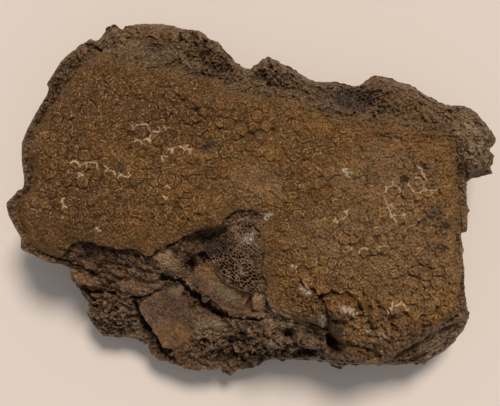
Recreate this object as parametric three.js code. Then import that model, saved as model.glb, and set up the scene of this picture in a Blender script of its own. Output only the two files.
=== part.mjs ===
// A piece of fossil dinosaur skin: one slab of brown ironstone, a piece that two hands hold.
// Its upper face is the skin, a pavement of low rounded scales that rolls over at the sides.
// The far edge is a broken slope of grey rock. Along the near edge the skin has come away
// from spongy bone, from smooth plates of bone and from bedded rock, which lie in steps below it.
//
// Frame: millimetres, +Z up. The slab lies on its flat underside at z = 0, with its length
// along X, the bedded edge towards -Y and the origin under the middle of its box.

import * as THREE from "three";

// Driving dimensions, mm
const skinLevel = 54; // height of the skin at the middle of the slab
const skinCrown = 2.5; // how much the skin is domed from its middle to its ends
const shoulderWidth = 15; // width of the band in which the skin rolls down to its edge
const scaleRelief = 0.9; // from a scale's crown to the joints round it
const footInset = 0.13; // share by which the underside's border is drawn in from the rim
const footLift = 3.5; // height of that border over the table
const sideBite = 1.6; // how deep the beds and chips of the side are cut
const baseShare = 0.8; // size of the flat base, as a share of the slab's outline

// Mesh: the top is a lattice of triangles, and every third point of it is the crown of a scale
const columns = 64;
const rows = 52;
const sideRings = 6;
const baseStep = 4; // rim points for each point of the flat base
const relaxRounds = 30;
const unfoldRounds = 40;
const leastHeight = 0.4; // of a triangle of the top, seen from above
const snapReach = 1.6; // how near a border a lattice point is moved onto it
const leastArea = 0.6; // mm2

const colour = 0x65503a;

// The rim is the slab's outline seen from above, as [x, y, z], clockwise from the far left corner
const farEdge = [
  [-98.5, 73, 34], [-88.5, 81.5, 32], [-83.5, 85.5, 32], [-79, 85, 32], [-75, 90.5, 31], [-70.5, 92.5, 31],
  [-66.5, 90.5, 31], [-63, 93, 30], [-51.5, 94, 30], [-41, 93, 30], [-34.5, 91, 30], [-26, 90, 30],
  [-22, 86.5, 30], [-17, 84.5, 30], [-14, 80, 30], [-9.5, 75.5, 30], [-1.5, 70.5, 30], [7, 75.5, 28],
  [10.5, 76.5, 28], [21, 71, 28], [33, 64.5, 29], [42, 63.5, 30], [54, 61, 30], [59, 63, 29],
  [64, 66, 28], [68.5, 66.5, 28], [83, 62.5, 28], [88.5, 59.5, 28], [101, 52, 29], [110, 51, 30],
  [116.5, 48.5, 31],
];
const rightEdge = [
  [121, 43.5, 32], [127.5, 33.5, 33], [125, 28, 33], [126.5, 25, 33], [125, 18.5, 33], [126, 15.5, 32],
  [121, 14.5, 32], [114, 12, 34], [111, 8, 40], [111, -4.5, 42], [110.5, -13.5, 42], [108, -15, 42],
  [108.5, -22, 42], [109.5, -35.5, 42], [110, -45.5, 40], [115.5, -58.5, 26],
];
const nearEdge = [
  [115.5, -63, 24], [112.5, -69, 23], [104.5, -78.5, 22], [96, -83.5, 22], [93, -86.5, 21], [89.5, -85.5, 22],
  [77.5, -86, 24], [54, -85.5, 24], [48, -88, 22], [39, -84.5, 21], [21.5, -84, 20], [9.5, -84.5, 19],
  [4.5, -88, 18], [-5.5, -90, 17], [-11, -93, 16], [-15, -91.5, 17], [-16.5, -85, 20], [-18.5, -89.5, 21],
  [-38.5, -88, 20], [-48.5, -84.5, 18], [-54, -81, 17], [-55, -76.5, 17], [-58.5, -74.5, 16],
  [-67.5, -72.5, 16],
];
const leftEdge = [
  [-79.5, -72, 17], [-86, -63, 19], [-87, -59, 20], [-85.5, -53.5, 22], [-89.5, -46, 28], [-94.5, -33.5, 35],
  [-98.5, -31, 41], [-106, -28.5, 43], [-115.5, -24, 43], [-116.5, -18, 44], [-120, -11, 44],
  [-123.5, -1.5, 44], [-118.5, 5.5, 44], [-114.5, 9.5, 44], [-116, 22, 43], [-115.5, 33, 42],
  [-110, 46, 39], [-104, 58, 36], [-104.5, 62, 36],
];

// The border of the skin, as [x, y, roll, step]: the skin rolls down by roll to reach the border,
// and the rock outside lies lower than the skin by step
const skinEdge = [
  [-119, -1.5, 9, 0], [-116.5, 2.5, 9, 0], [-111, 8, 8, 0], [-110.5, 15.5, 8, 0], [-111.5, 25.5, 8, 0],
  [-109.5, 35.5, 8, 0], [-104, 45, 8, 0], [-98, 52.5, 7, 0], [-93.5, 59.5, 7, 1], [-89, 65.5, 6, 1],
  [-81, 71.5, 5, 1], [-73, 75.5, 4, 0], [-64, 72.5, 3, 0], [-56, 67.5, 2, 0], [-45, 66, 2, 0],
  [-32.5, 64.5, 2, 1], [-21, 62, 2, 1], [-11, 57.5, 2, 1], [0, 54.5, 2, 0], [12.5, 53, 2, 0], [25, 51, 2, 0],
  [34, 46, 2, 1], [46, 42, 2, 1], [61, 40.5, 2, 0], [77.5, 38, 2, 0], [95, 36, 3, 0], [102.5, 32.5, 3, 0],
  [103.5, 24, 4, 0], [103.5, 12.5, 5, 0], [105, 3.5, 6, 0], [105.5, -6, 6, 0], [103.5, -14.5, 6, 0],
  [104.5, -23.5, 6, 0], [105.5, -34.5, 6, 0], [105.5, -46, 7, 1], [103.5, -54.5, 8, 2], [97, -62.5, 9, 2],
  [87, -70.5, 10, 2], [76, -74, 12, 2], [67.5, -76.5, 14, 2], [56, -77, 15, 3], [47.5, -74.5, 12, 4],
  [42.5, -67, 8, 6], [38, -63.5, 6, 7], [27.5, -59.5, 5, 7], [17.5, -56.5, 4, 6], [11, -52.5, 3, 6],
  [8, -47.5, 2, 6], [7.5, -41, 2, 5], [6, -32.5, 1, 3], [6, -23.5, 1, 2], [5.5, -14.5, 1, 4], [6, -6.5, 1, 6],
  [0, -3, 1, 9], [-7, -4, 1, 11], [-13, -8, 2, 11], [-16, -12, 4, 12], [-25, -13, 5, 14], [-32, -16.5, 4, 12],
  [-36, -20, 3, 7], [-46, -22, 3, 2], [-50, -26.5, 3, 3], [-57.5, -24, 4, 5], [-70, -22, 4, 5],
  [-77.5, -20.5, 4, 4], [-85, -18.5, 5, 3], [-92, -23.5, 7, 3], [-96, -27.5, 8, 1], [-103, -26.5, 9, 0],
  [-111, -22.5, 9, 0], [-113, -16.5, 9, 0], [-116.5, -9.5, 9, 0],
];

// Flat pieces that stand out of the broken rock: each one's plane rises by slope mm for each mm along X and Y
const plates = {
  largeBonePlate: {
    outline: [
      [-47.5, -43.5], [-41, -41.5], [-35, -42.5], [-31.5, -46.5], [-27.5, -53.5], [-26.5, -69],
      [-28.5, -73.5], [-33.5, -79], [-41, -79], [-45, -76.5], [-51, -66.5], [-57.5, -57.5],
      [-58, -53.5], [-55.5, -50.5],
    ],
    height: 32, slope: [-0.04, 0.16],
  },
  boneRind: {
    outline: [
      [-28, -32], [-22.5, -32], [-13, -40.5], [-4.5, -44.5], [7, -47.5], [8.5, -52], [4.5, -55.5],
      [-4.5, -56.5], [-14, -55], [-24, -48], [-28.5, -43.5], [-31, -39.5],
    ],
    height: 39, slope: [0.06, 0.22],
  },
  outerSliver: {
    outline: [
      [-91.5, -34.5], [-87, -35.5], [-82.5, -38], [-78, -40], [-73, -42.5], [-79, -44], [-84.5, -43],
      [-91, -40],
    ],
    height: 37, slope: [0, 0.2],
  },
  innerSliver: {
    outline: [
      [-71, -38.5], [-59, -38], [-51, -40], [-45.5, -42.5], [-51, -45.5], [-55.5, -48], [-62.5, -47.5],
      [-70, -43.5],
    ],
    height: 38, slope: [0.02, 0.25],
  },
};

// Crevices between those pieces: a path, the half width at which a crevice fades out, and its depth
const crevices = {
  belowBoneRind: {
    path: [
      [-44.5, -38], [-39.5, -39], [-34, -42.5], [-27.5, -51.5], [-19.5, -57.5], [-9.5, -59], [3, -60],
      [8.5, -57],
    ],
    width: 3.6, depth: 9,
  },
  leftOfLargePlate: {
    path: [[-60.5, -52.5], [-59, -58.5], [-54.5, -67], [-49.5, -73], [-46, -79], [-40, -83.5]],
    width: 3.6, depth: 9,
  },
  underOuterSliver: { path: [[-89, -46], [-82, -46.5], [-72.5, -47]], width: 3, depth: 6 },
};

// Rounded lumps and pits: middle, half length and half width, turn in degrees, and rise (negative for a pit)
const bumps = [
  { name: "spongy bone", at: [-3, -27], size: [22, 14], turn: 60, rise: 5 },
  { name: "slot over the spongy bone", at: [-22, -16.5], size: [11, 5], turn: 20, rise: -9 },
  { name: "hole beside the spongy bone", at: [-31, -32], size: [5, 7], turn: 0, rise: -8 },
  { name: "pale spongy knob", at: [-42, -30], size: [8, 7], turn: 0, rise: 4 },
  { name: "near bulge of skin", at: [30.5, -50], size: [13, 10], turn: -35, rise: 3 },
  { name: "bulge beside it", at: [48.5, -54], size: [11, 7], turn: -15, rise: 3 },
  { name: "left hole of the near edge", at: [20, -67.5], size: [4.5, 4.5], turn: 0, rise: -9 },
  { name: "right hole of the near edge", at: [43.5, -73], size: [4.5, 8], turn: 25, rise: -12 },
  { name: "knob between the holes", at: [30, -71], size: [9, 4.5], turn: -15, rise: 5 },
  { name: "recess under the knob", at: [30, -79], size: [11, 4.5], turn: 0, rise: -6 },
  { name: "hollow in the near edge", at: [-6, -72], size: [7, 6], turn: 0, rise: -6 },
  { name: "near block", at: [8, -72], size: [12, 9], turn: 0, rise: 4 },
  { name: "porous block", at: [-73, -60], size: [12, 10], turn: 0, rise: 4 },
  { name: "far left lump", at: [-50, 82], size: [26, 11], turn: -5, rise: 4 },
  { name: "hollow in the far slope", at: [-18, 71], size: [10, 6], turn: -30, rise: -5 },
  { name: "far middle lump", at: [12, 68], size: [15, 8], turn: -20, rise: 4 },
  { name: "saddle of the far slope", at: [50, 54], size: [12, 9], turn: 0, rise: -5 },
  { name: "far right lump", at: [72, 56], size: [20, 9], turn: -15, rise: 5 },
  { name: "right corner lump", at: [114, 26], size: [12, 16], turn: 0, rise: 4 },
];

// Repeatable noise: a hash of whole numbers, smoothed between the corners of a unit cell, from -1 to 1
function hash(i, j, k) {
  let h = Math.imul(i, 374761393) + Math.imul(j, 668265263) + Math.imul(k, 2147483647);
  h = Math.imul(h ^ (h >>> 13), 1274126177);
  return ((h ^ (h >>> 16)) >>> 0) / 2147483647.5 - 1;
}

function noise(x, y, z) {
  const cell = [x, y, z].map(Math.floor);
  const [u, v, w] = [x - cell[0], y - cell[1], z - cell[2]].map((f) => f * f * (3 - 2 * f));
  let sum = 0;
  for (let corner = 0; corner < 8; corner++) {
    const [a, b, c] = [corner & 1, (corner >> 1) & 1, corner >> 2];
    const weight = (a ? u : 1 - u) * (b ? v : 1 - v) * (c ? w : 1 - w);
    sum += weight * hash(cell[0] + a, cell[1] + b, cell[2] + c);
  }
  return sum;
}

// Noise with two finer octaves added, for a lump of the given size in mm
function roughness(x, y, z, size) {
  const octave = (k) => noise((x * k) / size, (y * k) / size, (z * k) / size + 9 * k) / k;
  return octave(1) + octave(2) + octave(4);
}

const mix = (a, b, t) => a + (b - a) * t;
const clamp = (t) => Math.min(1, Math.max(0, t));

// The nearest point of a line of points: its distance, and whatever the points hold after x and y
function nearest(points, x, y, closed) {
  let best = { distance: Infinity };
  const count = closed ? points.length : points.length - 1;
  for (let i = 0; i < count; i++) {
    const a = points[i];
    const b = points[(i + 1) % points.length];
    const [dx, dy] = [b[0] - a[0], b[1] - a[1]];
    const t = clamp(((x - a[0]) * dx + (y - a[1]) * dy) / (dx * dx + dy * dy));
    const distance = Math.hypot(x - a[0] - t * dx, y - a[1] - t * dy);
    if (distance < best.distance) {
      const at = a.map((v, k) => mix(v, b[k], t));
      best = { distance, point: at.slice(0, 2), held: at.slice(2) };
    }
  }
  return best;
}

function inside(points, x, y) {
  let within = false;
  points.forEach((a, i) => {
    const b = points[(i + 1) % points.length];
    if (a[1] > y !== b[1] > y && x < a[0] + ((y - a[1]) / (b[1] - a[1])) * (b[0] - a[0])) within = !within;
  });
  return within;
}

// Evenly spaced points along an open line of points
function spaced(points, cells) {
  const lengths = points.slice(1).map((p, i) => Math.hypot(p[0] - points[i][0], p[1] - points[i][1]));
  const total = lengths.reduce((a, b) => a + b);
  const made = [];
  let [leg, passed] = [0, 0];
  for (let n = 0; n <= cells; n++) {
    const along = (total * n) / cells;
    while (leg < lengths.length - 1 && passed + lengths[leg] < along) passed += lengths[leg++];
    const t = clamp((along - passed) / lengths[leg]);
    made.push(points[leg].map((v, k) => mix(v, points[leg + 1][k], t)));
  }
  return made;
}

const far = spaced([...farEdge, rightEdge[0]], columns);
const right = spaced([...rightEdge, nearEdge[0]], rows).reverse();
const near = spaced([...nearEdge, leftEdge[0]], columns).reverse();
const left = spaced([...leftEdge, farEdge[0]], rows);
const rim = [...farEdge, ...rightEdge, ...nearEdge, ...leftEdge];

// A point of the top in plan, for s from left to right and t from near to far: each pair of opposite
// edges is joined by straight lines, the two results are added, and the corners' share is taken off
function plan(s, t) {
  const between = (edge, at) => {
    const i = Math.min(Math.floor(at * (edge.length - 1)), edge.length - 2);
    const f = at * (edge.length - 1) - i;
    return edge[i].map((v, k) => mix(v, edge[i + 1][k], f));
  };
  const [n, f, l, r] = [between(near, s), between(far, s), between(left, t), between(right, t)];
  const corner = (k) =>
    mix(mix(near[0][k], near[columns][k], s), mix(far[0][k], far[columns][k], s), t);
  return [0, 1].map((k) => mix(n[k], f[k], t) + mix(l[k], r[k], s) - corner(k));
}

// Height of the skin, a low dome that rolls down by the given amount to its border
function skinHeight(x, y, roll, distance) {
  const dome = skinCrown * (1 - ((x / 120) ** 2 + (y / 90) ** 2) / 2);
  const rolled = roll * (1 - clamp(distance / shoulderWidth)) ** 2;
  return skinLevel - skinCrown + dome - rolled + 0.9 * noise(x / 38, y / 38, 3);
}

// Values [x, y, value] averaged at a point, each weighing less with the fourth power of its distance
function weighted(values, x, y) {
  const weights = values.map(([vx, vy]) => 1 / ((vx - x) ** 2 + (vy - y) ** 2 + 1) ** 2);
  const total = weights.reduce((a, b) => a + b);
  return values.reduce((sum, value, i) => sum + (value[2] * weights[i]) / total, 0);
}

// Height of the rock outside the skin: from the foot of the skin's border down to the rim
const skinFoot = skinEdge.map(([x, y, roll, step]) => [x, y, skinHeight(x, y, roll, 0) - step]);
function rockHeight(x, y, toSkin, toRim) {
  const up = (toRim / (toRim + toSkin + 1e-6)) ** 0.8;
  const rough = 1.3 * roughness(x, y, 0, 16) * clamp(toRim / 4);
  return mix(weighted(rim, x, y), weighted(skinFoot, x, y), up) + rough;
}

// How far inside a rounded lump or pit a point is, from 1 at its middle to 0 at its border
function within(bump, x, y) {
  const turn = THREE.MathUtils.degToRad(bump.turn);
  const [dx, dy] = [x - bump.at[0], y - bump.at[1]];
  const along = (dx * Math.cos(turn) + dy * Math.sin(turn)) / bump.size[0];
  const across = (dy * Math.cos(turn) - dx * Math.sin(turn)) / bump.size[1];
  return Math.max(0, 1 - along * along - across * across);
}

// Height of the top at a point, where crown is 1 on a scale's crown and 0 on the joints round it
function topHeight(x, y, crown) {
  const border = nearest(skinEdge, x, y, true);
  const edge = nearest(rim, x, y, true);
  const onSkin = inside(skinEdge, x, y) || border.distance < 0.01;
  const relief = scaleRelief * (crown - 0.5) * clamp(border.distance / 6);
  let z = onSkin
    ? skinHeight(x, y, border.held[0], border.distance) + relief
    : rockHeight(x, y, border.distance, edge.distance);
  for (const bump of bumps) z += bump.rise * within(bump, x, y) * clamp(edge.distance / 5);
  for (const { path, width, depth } of Object.values(crevices)) {
    const { distance } = nearest(path, x, y, false);
    z -= depth * (1 - clamp(distance / width)) * clamp(edge.distance / 3);
  }
  for (const { outline, height, slope } of Object.values(plates)) {
    const onPlate = inside(outline, x, y) || nearest(outline, x, y, true).distance < 0.01;
    if (!onPlate) continue;
    const middle = [0, 1].map((k) => outline.reduce((sum, p) => sum + p[k], 0) / outline.length);
    z = height + slope[0] * (x - middle[0]) + slope[1] * (y - middle[1]);
  }
  return z;
}

// Triangles between two lines of points that run the same way, whatever their counts
function zip(a, b, triangles) {
  let [i, j] = [0, 0];
  const [lastA, lastB] = [a.length - 1, b.length - 1];
  while (i < lastA || j < lastB) {
    const alongA = j === lastB || (i < lastA && (i + 1) / lastA <= (j + 1) / lastB);
    if (alongA) triangles.push([a[i], a[i + 1], b[j]]);
    else triangles.push([a[i], b[j + 1], b[j]]);
    if (alongA) i++;
    else j++;
  }
}

// Evens out the lattice: each free point moves to the middle of its neighbours, again and again
function relax(points, triangles, free) {
  const neighbours = points.map(() => new Set());
  triangles.forEach((t) => t.forEach((id, k) => neighbours[id].add(t[(k + 1) % 3]).add(t[(k + 2) % 3])));
  for (let round = 0; round < relaxRounds; round++) {
    for (const id of free) {
      const around = [...neighbours[id]].map((n) => points[n]);
      points[id] = [0, 1].map((k) => around.reduce((sum, p) => sum + p[k], 0) / around.length);
    }
  }
}

// Moves free points back over the opposite side of their triangles, where the lattice has folded over
function unfold(points, triangles, free) {
  const mayMove = new Set(free);
  for (let round = 0; round < unfoldRounds; round++) {
    for (const t of triangles) {
      t.forEach((id, k) => {
        const [p, a, b] = [points[id], points[t[(k + 1) % 3]], points[t[(k + 2) % 3]]];
        const [dx, dy] = [b[0] - a[0], b[1] - a[1]];
        const side = Math.hypot(dx, dy);
        const short = leastHeight - (dx * (p[1] - a[1]) - dy * (p[0] - a[0])) / side;
        if (!mayMove.has(id) || short <= 0) return;
        points[id] = [p[0] - (short * dy) / side, p[1] + (short * dx) / side];
      });
    }
  }
}

// Moves a free point near the border of the skin or of a plate onto it, so that the step there is sharp,
// unless a triangle round the point would then turn over or become a sliver
function snap(points, triangles, free) {
  const touching = points.map(() => []);
  triangles.forEach((t) => t.forEach((id) => touching[id].push(t)));
  const area = (t) => {
    const [a, b, c] = t.map((id) => points[id]);
    return ((b[0] - a[0]) * (c[1] - a[1]) - (c[0] - a[0]) * (b[1] - a[1])) / 2;
  };
  const outlines = [skinEdge, ...Object.values(plates).map((plate) => plate.outline)];
  for (const id of free) {
    const kept = points[id];
    const hit = outlines.map((o) => nearest(o, ...kept, true)).find(({ distance }) => distance < snapReach);
    if (!hit) continue;
    points[id] = hit.point;
    if (touching[id].some((t) => area(t) < leastArea)) points[id] = kept;
  }
}

// The top, on rows of lattice points from near to far, each second row moved along by half a cell:
// its points, its triangles, and the loop of point numbers round the rim, anticlockwise from above
function topSurface() {
  const points = [];
  const crowns = [];
  const lattice = Array.from({ length: rows + 1 }, (_, j) => {
    const odd = j % 2;
    const whole = Array.from({ length: columns + 1 }, (_, i) => i);
    const steps = odd ? [0, ...whole.slice(0, -1).map((i) => i + 0.5), columns] : whole;
    return steps.map((step) => {
      const order = Math.floor(step) - Math.floor(j / 2) - odd + 3 * rows;
      crowns.push(order % 3 === 0 ? 1 : 0);
      return points.push(plan(step / columns, j / rows)) - 1;
    });
  });
  const triangles = [];
  for (let j = 0; j < rows; j++) zip(lattice[j], lattice[j + 1], triangles);
  const loop = [
    ...lattice[0].slice(0, -1),
    ...lattice.slice(0, -1).map((row) => row.at(-1)),
    ...lattice[rows].slice(1).reverse(),
    ...lattice.slice(1).map((row) => row[0]).reverse(),
  ];
  const onRim = new Set(loop);
  const free = points.map((_, id) => id).filter((id) => !onRim.has(id));
  relax(points, triangles, free);
  unfold(points, triangles, free);
  snap(points, triangles, free);
  const height = (p, id) => (onRim.has(id) ? nearest(rim, ...p, true).held[0] : topHeight(...p, crowns[id]));
  points.forEach((p, id) => p.push(height(p, id)));
  return { points, triangles, loop };
}

// One ring of the side: share runs from 0 at the rim to 1 at the border of the underside
function sideRing(loop, foot, share) {
  const inward = share ** 1.7;
  return loop.map((p, i) => {
    const beds = 1 + Math.sin(share * 15 + 2 * noise(p[0] / 30, p[1] / 30, 5));
    const chips = 1.7 + roughness(p[0], p[1], 60 * share, 22);
    const bite = (sideBite * (chips + beds) * Math.sin(Math.PI * share)) / Math.hypot(p[0], p[1]);
    const [x, y] = [0, 1].map((k) => mix(p[k], foot[i][k], inward) - p[k] * bite);
    return [x, y, mix(p[2], foot[i][2], share)];
  });
}

// Border of the underside: the rim smoothed over its neighbours and drawn in
function footRing(loop) {
  const spread = 9;
  return loop.map((_, i) => {
    let [x, y] = [0, 0];
    for (let n = -spread; n <= spread; n++) {
      const p = loop[(i + n + loop.length) % loop.length];
      x += p[0] / (2 * spread + 1);
      y += p[1] / (2 * spread + 1);
    }
    const lift = footLift * (1 + 0.6 * noise(x / 18, y / 18, 7));
    return [x * (1 - footInset), y * (1 - footInset), lift];
  });
}

function slabGeometry() {
  const vertices = [];
  const triangles = [];
  const add = (points) => points.map((p) => vertices.push(new THREE.Vector3(...p)) - 1);
  const joinRings = (upper, lower) => zip([...upper, upper[0]], [...lower, lower[0]], triangles);

  const top = topSurface();
  add(top.points);
  triangles.push(...top.triangles);
  const loop = top.loop.map((id) => top.points[id]);
  const foot = footRing(loop);
  let above = top.loop;
  for (let n = 1; n <= sideRings; n++) {
    const ring = add(sideRing(loop, foot, n / sideRings));
    joinRings(ring, above);
    above = ring;
  }

  // The flat base, a fan about the middle of the underside
  const base = foot.filter((_, i) => i % baseStep === 0).map((p) => [p[0] * baseShare, p[1] * baseShare, 0]);
  const baseIds = add(base);
  joinRings(baseIds, above);
  const [middle] = add([[0, 0, 0]]);
  baseIds.forEach((id, i) => triangles.push([id, middle, baseIds[(i + 1) % baseIds.length]]));

  const geometry = new THREE.BufferGeometry().setFromPoints(vertices);
  geometry.setIndex(triangles.flat());
  geometry.computeBoundingBox();
  const centre = geometry.boundingBox.getCenter(new THREE.Vector3());
  geometry.translate(-centre.x, -centre.y, 0);
  geometry.computeVertexNormals();
  return geometry;
}

const slab = new THREE.Mesh(
  slabGeometry(),
  new THREE.MeshStandardMaterial({ color: colour, roughness: 0.8, metalness: 0, flatShading: true }),
);
slab.name = "skin_slab";

const fossil = new THREE.Group();
fossil.add(slab);

export default fossil;
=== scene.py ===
import bpy
import numpy as np
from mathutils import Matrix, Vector


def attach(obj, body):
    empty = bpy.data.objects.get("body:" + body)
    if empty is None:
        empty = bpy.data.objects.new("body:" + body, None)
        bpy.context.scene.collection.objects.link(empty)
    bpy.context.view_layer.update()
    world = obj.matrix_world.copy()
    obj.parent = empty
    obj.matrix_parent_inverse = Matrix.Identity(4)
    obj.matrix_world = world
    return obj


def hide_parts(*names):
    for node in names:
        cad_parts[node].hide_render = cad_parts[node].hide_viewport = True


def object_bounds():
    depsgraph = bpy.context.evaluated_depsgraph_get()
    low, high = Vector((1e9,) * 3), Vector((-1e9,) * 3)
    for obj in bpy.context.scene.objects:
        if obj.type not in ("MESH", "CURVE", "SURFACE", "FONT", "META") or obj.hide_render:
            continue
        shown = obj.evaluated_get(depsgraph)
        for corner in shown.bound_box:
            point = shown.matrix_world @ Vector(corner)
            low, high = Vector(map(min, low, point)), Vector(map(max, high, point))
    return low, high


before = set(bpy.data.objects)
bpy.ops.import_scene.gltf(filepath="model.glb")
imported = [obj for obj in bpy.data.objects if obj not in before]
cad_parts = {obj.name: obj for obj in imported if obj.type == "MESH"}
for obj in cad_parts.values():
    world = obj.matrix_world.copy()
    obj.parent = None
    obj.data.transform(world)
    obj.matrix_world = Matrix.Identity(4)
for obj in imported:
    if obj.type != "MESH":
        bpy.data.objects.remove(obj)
cadBox = [list(corner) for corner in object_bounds()]
print("frame loaded:", sorted(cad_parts))

mm = 0.001

# The slab's outline from above as [x, y, height], clockwise from the far left corner, in four edges
outline = {
    "far": [
        [-98.5, 73, 34], [-93.5, 78.5, 33], [-88.5, 81.5, 32], [-83.5, 85.5, 32], [-79, 85, 32],
        [-75, 90.5, 31], [-70.5, 92.5, 31], [-66.5, 90.5, 31], [-63, 93, 30], [-51.5, 94, 30], [-41, 93, 30],
        [-34.5, 91, 30], [-26, 90, 30], [-22, 86.5, 30], [-17, 84.5, 30], [-14, 80, 30], [-9.5, 75.5, 30],
        [-1.5, 70.5, 30], [7, 75.5, 28], [10.5, 76.5, 28], [21, 71, 28], [33, 64.5, 29], [42, 63.5, 30],
        [54, 61, 30], [59, 63, 29], [64, 66, 28], [68.5, 66.5, 28], [83, 62.5, 28], [88.5, 59.5, 28],
        [101, 52, 29], [110, 51, 30], [116.5, 48.5, 31],
    ],
    "right": [
        [121, 43.5, 32], [127.5, 33.5, 33], [125, 28, 33], [126.5, 25, 33], [125, 18.5, 33], [126, 15.5, 32],
        [121, 14.5, 32], [114, 12, 34], [111, 8, 40], [111, -4.5, 42], [110.5, -13.5, 42], [108, -15, 42],
        [108.5, -22, 42], [109.5, -35.5, 42], [110, -45.5, 40], [115.5, -58.5, 26],
    ],
    "near": [
        [115.5, -63, 24], [112.5, -69, 23], [104.5, -78.5, 22], [96, -83.5, 22], [93, -86.5, 21],
        [89.5, -85.5, 22], [77.5, -86, 24], [54, -85.5, 24], [48, -88, 22], [39, -84.5, 21], [21.5, -84, 20],
        [9.5, -84.5, 19], [4.5, -88, 18], [-5.5, -90, 17], [-11, -93, 16], [-15, -91.5, 17], [-16.5, -85, 20],
        [-18.5, -89.5, 21], [-38.5, -88, 20], [-48.5, -84.5, 18], [-54, -81, 17], [-55, -76.5, 17],
        [-58.5, -74.5, 16], [-67.5, -72.5, 16],
    ],
    "left": [
        [-79.5, -72, 17], [-86, -63, 19], [-87, -59, 20], [-85.5, -53.5, 22], [-89.5, -46, 28],
        [-94.5, -33.5, 35], [-98.5, -31, 41], [-106, -28.5, 43], [-115.5, -24, 43], [-116.5, -18, 44],
        [-120, -11, 44], [-123.5, -1.5, 44], [-118.5, 5.5, 44], [-114.5, 9.5, 44], [-116, 22, 43],
        [-115.5, 33, 42], [-110, 46, 39], [-104, 58, 36], [-104.5, 62, 36],
    ],
}

# The border of the skin as [x, y, roll, step]: how far the skin rolls down to it, and the drop outside it
skinEdge = np.array([
    [-119, -1.5, 9, 0], [-116.5, 2.5, 9, 0], [-111, 8, 8, 0], [-110.5, 15.5, 8, 0], [-111.5, 25.5, 8, 0],
    [-109.5, 35.5, 8, 0], [-104, 45, 8, 0], [-98, 52.5, 7, 0], [-93.5, 59.5, 7, 1], [-89, 65.5, 6, 1],
    [-81, 71.5, 5, 1], [-73, 75.5, 4, 0], [-64, 72.5, 3, 0], [-56, 67.5, 2, 0], [-45, 66, 2, 0],
    [-32.5, 64.5, 2, 1], [-21, 62, 2, 1], [-11, 57.5, 2, 1], [0, 54.5, 2, 0], [12.5, 53, 2, 0],
    [25, 51, 2, 0], [34, 46, 2, 1], [46, 42, 2, 1], [61, 40.5, 2, 0], [77.5, 38, 2, 0], [95, 36, 3, 0],
    [102.5, 32.5, 3, 0], [103.5, 24, 4, 0], [103.5, 12.5, 5, 0], [105, 3.5, 6, 0], [105.5, -6, 6, 0],
    [103.5, -14.5, 6, 0], [104.5, -23.5, 6, 0], [105.5, -34.5, 6, 0], [105.5, -46, 7, 1],
    [103.5, -54.5, 8, 2], [97, -62.5, 9, 2], [87, -70.5, 9, 2], [76, -76, 9, 1], [67.5, -79.5, 9, 0],
    [56, -80.5, 8, 0], [47.5, -77, 7, 2], [42.5, -67, 6, 4], [38, -63.5, 4, 4], [27.5, -59.5, 4, 2],
    [17.5, -56.5, 3, 2], [11, -52.5, 3, 2], [8, -47.5, 3, 2], [8.5, -40, 4, 1], [5.5, -33, 4, 0],
    [7, -26, 4, 0], [4.5, -19.5, 3, 0], [6.5, -13, 3, 0], [6, -6.5, 2, 1], [0, -3, 1, 1], [-7, -4, 1, 1.5],
    [-13, -8, 2, 2], [-16, -12, 3, 4], [-25, -13, 4, 6], [-32, -16.5, 4, 4], [-37, -20, 4, 2],
    [-46, -22, 3, 1], [-50, -26.5, 3, 2], [-57.5, -24, 4, 5], [-70, -22, 4, 5], [-77.5, -20.5, 4, 4],
    [-85, -18.5, 5, 3], [-92, -23.5, 7, 3], [-96, -27.5, 8, 1], [-103, -26.5, 9, 0], [-111, -22.5, 9, 0],
    [-113, -16.5, 9, 0], [-116.5, -9.5, 9, 0],
])

# Flat pieces of bone and rock: outline, height at the middle, rise for each mm along x and y, and the way and
# width in which a soft side runs out into the stone
plates = {
    "largeBonePlate": {
        "outline": [
            [-47.5, -43.5], [-41, -41.5], [-35, -42.5], [-31.5, -46.5], [-27.5, -53.5], [-26.5, -69],
            [-28.5, -73.5], [-33.5, -79], [-41, -79], [-45, -76.5], [-51, -66.5], [-57.5, -57.5],
            [-58, -53.5], [-55.5, -50.5],
        ],
        "height": 32, "slope": (-0.04, 0.16), "soft": (1, -0.3, 7), "bone": True,
    },
    "boneRind": {
        "outline": [
            [-28, -32], [-22.5, -32], [-13, -40.5], [-4.5, -44.5], [7, -47.5], [8.5, -52], [4.5, -55.5],
            [-4.5, -56], [-13, -54], [-22.5, -46.5], [-27.5, -42.5], [-30.5, -38.5],
        ],
        "height": 40, "slope": (0.06, 0.26), "soft": (0, 0, 0), "bone": True,
    },
    "boneKnob": {
        "outline": [
            [1.5, -46], [4.5, -44.5], [7.5, -45.5], [9, -49], [8, -53], [6, -55.5], [2.5, -55], [1, -51.5],
        ],
        "height": 44, "slope": (-0.1, 0.25), "soft": (0, 0, 0), "bone": True,
    },
    "outerSliver": {
        "outline": [
            [-91.5, -34.5], [-87, -35.5], [-82.5, -38], [-78, -40], [-73, -42.5], [-79, -44], [-84.5, -43],
            [-91, -40],
        ],
        "height": 37, "slope": (0, 0.2), "soft": (1, 0, 3), "bone": False,
    },
    "innerSliver": {
        "outline": [
            [-71, -38.5], [-59, -38], [-51, -40], [-45.5, -42.5], [-51, -45.5], [-55.5, -48], [-62.5, -47.5],
            [-70, -43.5],
        ],
        "height": 38, "slope": (0.02, 0.25), "soft": (-1, 0, 4), "bone": False,
    },
}

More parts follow.
